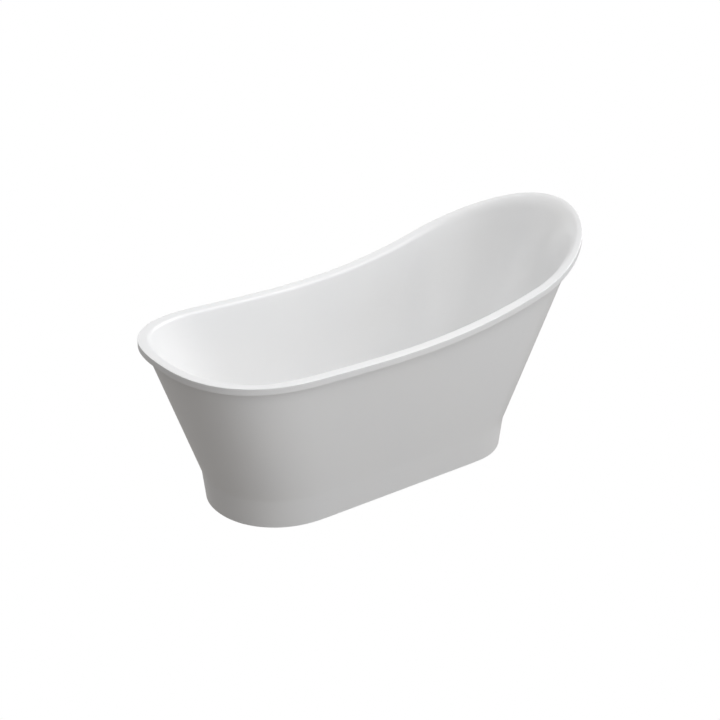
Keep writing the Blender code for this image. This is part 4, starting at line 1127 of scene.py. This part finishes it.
def build_washer(node_name, outside, bottom, top, place):
    """A rubber washer with rounded edges and a sealing groove in each face."""
    soft = min(0.0005, (top - bottom) / 4)
    groove = 0.0006  # half its width
    middle = (SEAL_BORE + outside) / 2
    upper = [
        (SEAL_BORE, top - soft), (SEAL_BORE + soft * 0.3, top - soft * 0.3), (SEAL_BORE + soft, top),
        (middle - groove, top), (middle, top - soft * 0.8), (middle + groove, top),
        (outside - soft, top), (outside - soft * 0.3, top - soft * 0.3), (outside, top - soft),
    ]
    lower = [(radius, bottom + top - height) for radius, height in reversed(upper)]
    piece(f"grooved_{node_name}", lathe(upper + lower, place=place), "rubber", node_name)


def build_washers():
    """The seals above and below the drain's floor, and the one behind the overflow."""
    for name, outside in (("drain_seal_upper", 0.034), ("drain_seal_lower", 0.038)):
        build_washer(name, outside, *levels(name), DRAIN_AXIS)
    back = FLANGE_FACE + GAP
    build_washer("overflow_seal", ELBOW_FLANGE_RADIUS - 0.0005, back, back + 0.003, OVERFLOW_AXIS)


def build_plunger():
    """The plug's turned brass pin: eased ends, a clip groove and a collar."""
    bottom, top = levels("plug_plunger")
    profile = [
        (0, top), (0.0022, top), (0.0026, top - 0.0004), (0.0026, bottom + 0.0062),
        (0.0022, bottom + 0.0060), (0.0022, bottom + 0.0052), (0.0026, bottom + 0.0050),
        (0.0026, bottom + 0.0020), (0.0039, bottom + 0.0020), (0.0042, bottom + 0.0017),
        (0.0042, bottom + 0.0003), (0.0039, bottom), (0, bottom),
    ]
    piece("turned_plunger", lathe(profile, 64, DRAIN_AXIS), "brass", "plug_plunger", body="plug")


def build_cartridge():
    """The click cartridge's tube, threaded where it screws into the flange's hub."""
    bottom, top = levels("plug_cartridge")
    radius, bore, mouth = 0.0066, 0.0048, 0.0031
    profile = [
        (0, bottom + 0.002), (bore, bottom + 0.002), (bore, top - 0.0015), (mouth, top - 0.0015),
        (mouth, top - 0.0003), (mouth + 0.0003, top), (radius - 0.0005, top), (radius, top - 0.0005),
        (radius, top - 0.0030), *ridged(radius, 0.0003, top - 0.0034, top - 0.0150, 0.0008),
        (radius - 0.0004, top - 0.0155), (radius - 0.0004, top - 0.0168), (radius, top - 0.0172),
        (radius, bottom + 0.0006), (radius - 0.0006, bottom), (0, bottom),
    ]
    piece("turned_cartridge", lathe(profile, 72, DRAIN_AXIS), "brass", "plug_cartridge")


build_shoe()
build_elbow()
build_washers()
build_plunger()
build_cartridge()

# ---------------- stage, light and camera

FLOOR_SIZE = 30
FLOOR_BOUNCE = 0.385  # light the floor sends back up
MIRRORED_GREY = 0.5
WARM = (1.0, 0.965, 0.935)
COOL = (0.95, 0.975, 1.0)
CLEAR = (0.99, 0.99, 1.0)
LIGHTS_AIM = Vector((0, 0, 0.4))
LIGHTS_DISTANCE = 5.0
LIGHTS = [  # name, azimuth, elevation, size, watts, colour
    ("head_high", 90, 44, 3.6, 220, CLEAR),
    ("front_high", 0, 44, 3.6, 62),
    ("front_left", 330, 44, 3.6, 40),
    ("back_high", 210, 44, 3.6, 68),
    ("back_left", 240, 62, 3.6, 45),
    ("front_low", 0, 8, 2.4, 32, COOL),
    ("corner_low", 30, 8, 2.4, 39, COOL),
    ("back_low", 180, 8, 2.4, 41),
]
CAMERA_AZIMUTH = -36.35
CAMERA_ELEVATION = 25.46
CAMERA_DISTANCE = 5.940
CAMERA_ASIDE = -0.0437  # along the picture's width and height, from the line to the origin
CAMERA_UP = 0.3502
CAMERA_LENS = 82.35


def direction(azimuth, elevation):
    """Unit vector to a place round the bath. Azimuth 0 is -Y, and it grows towards +X."""
    a, e = math.radians(azimuth), math.radians(elevation)
    return Vector((math.sin(a) * math.cos(e), -math.cos(a) * math.cos(e), math.sin(e)))


def seen_and_unseen(tree, unseen, seen, output_kind):
    """Shows one shader to the camera and another to every other ray."""
    output = node(tree, output_kind)
    blend = node(tree, "ShaderNodeMixShader")
    path = node(tree, "ShaderNodeLightPath")
    tree.links.new(path.outputs["Is Camera Ray"], blend.inputs["Fac"])
    tree.links.new(unseen.outputs[0], blend.inputs[1])
    tree.links.new(seen.outputs[0], blend.inputs[2])
    tree.links.new(blend.outputs[0], output.inputs["Surface"])
    return path


def build_floor():
    """A floor that looks white like the backdrop and sends back a set, slightly warm light."""
    bm = bmesh.new()
    bmesh.ops.create_grid(bm, x_segments=2, y_segments=2, size=FLOOR_SIZE)
    mesh = bpy.data.meshes.new("floor")
    bm.to_mesh(mesh)
    bm.free()
    floor = add_object("floor", mesh)
    material = bpy.data.materials.new("pale_floor")
    material.use_nodes = True
    tree = material.node_tree
    tree.nodes.clear()
    bounce = node(tree, "ShaderNodeEmission")
    bounce.inputs["Color"].default_value = (*WARM, 1)
    bounce.inputs["Strength"].default_value = FLOOR_BOUNCE
    paper = node(tree, "ShaderNodeEmission")
    seen_and_unseen(tree, bounce, paper, "ShaderNodeOutputMaterial")
    mesh.materials.append(material)


def build_light(name, azimuth, elevation, size, energy, colour=(1, 1, 1)):
    """A soft square light aimed at the bath."""
    towards = direction(azimuth, elevation)
    data = bpy.data.lights.new(name, "AREA")
    data.energy = energy
    data.size = size
    data.color = colour
    light = add_object(name, data)
    light.location = LIGHTS_AIM + towards * LIGHTS_DISTANCE
    light.rotation_euler = towards.to_track_quat("Z", "Y").to_euler()


def build_world():
    """White behind the bath, grey where a polished piece mirrors it, and no light of its own."""
    world = bpy.data.worlds.new("studio")
    world.use_nodes = True
    bpy.context.scene.world = world
    tree = world.node_tree
    tree.nodes.clear()
    fill, backdrop = [node(tree, "ShaderNodeBackground") for _ in range(2)]
    for background in (fill, backdrop):
        background.inputs["Color"].default_value = (1, 1, 1, 1)
    path = seen_and_unseen(tree, fill, backdrop, "ShaderNodeOutputWorld")
    mirrored = node(tree, "ShaderNodeMath", operation="MULTIPLY")
    mirrored.inputs[1].default_value = MIRRORED_GREY
    tree.links.new(path.outputs["Is Glossy Ray"], mirrored.inputs[0])
    tree.links.new(mirrored.outputs[0], fill.inputs["Strength"])


def build_camera():
    back = direction(CAMERA_AZIMUTH, CAMERA_ELEVATION)
    right = Vector((0, 0, 1)).cross(back).normalized()
    up = back.cross(right)
    data = bpy.data.cameras.new("camera")
    data.sensor_width = 36
    data.lens = CAMERA_LENS
    camera = add_object("camera", data)
    camera.location = back * CAMERA_DISTANCE + right * CAMERA_ASIDE + up * CAMERA_UP
    camera.rotation_euler = Matrix((right, up, back)).transposed().to_euler()
    bpy.context.scene.camera = camera


build_floor()
build_world()
for light in LIGHTS:
    build_light(*light)
build_camera()
bpy.context.scene.view_settings.view_transform = "Standard"
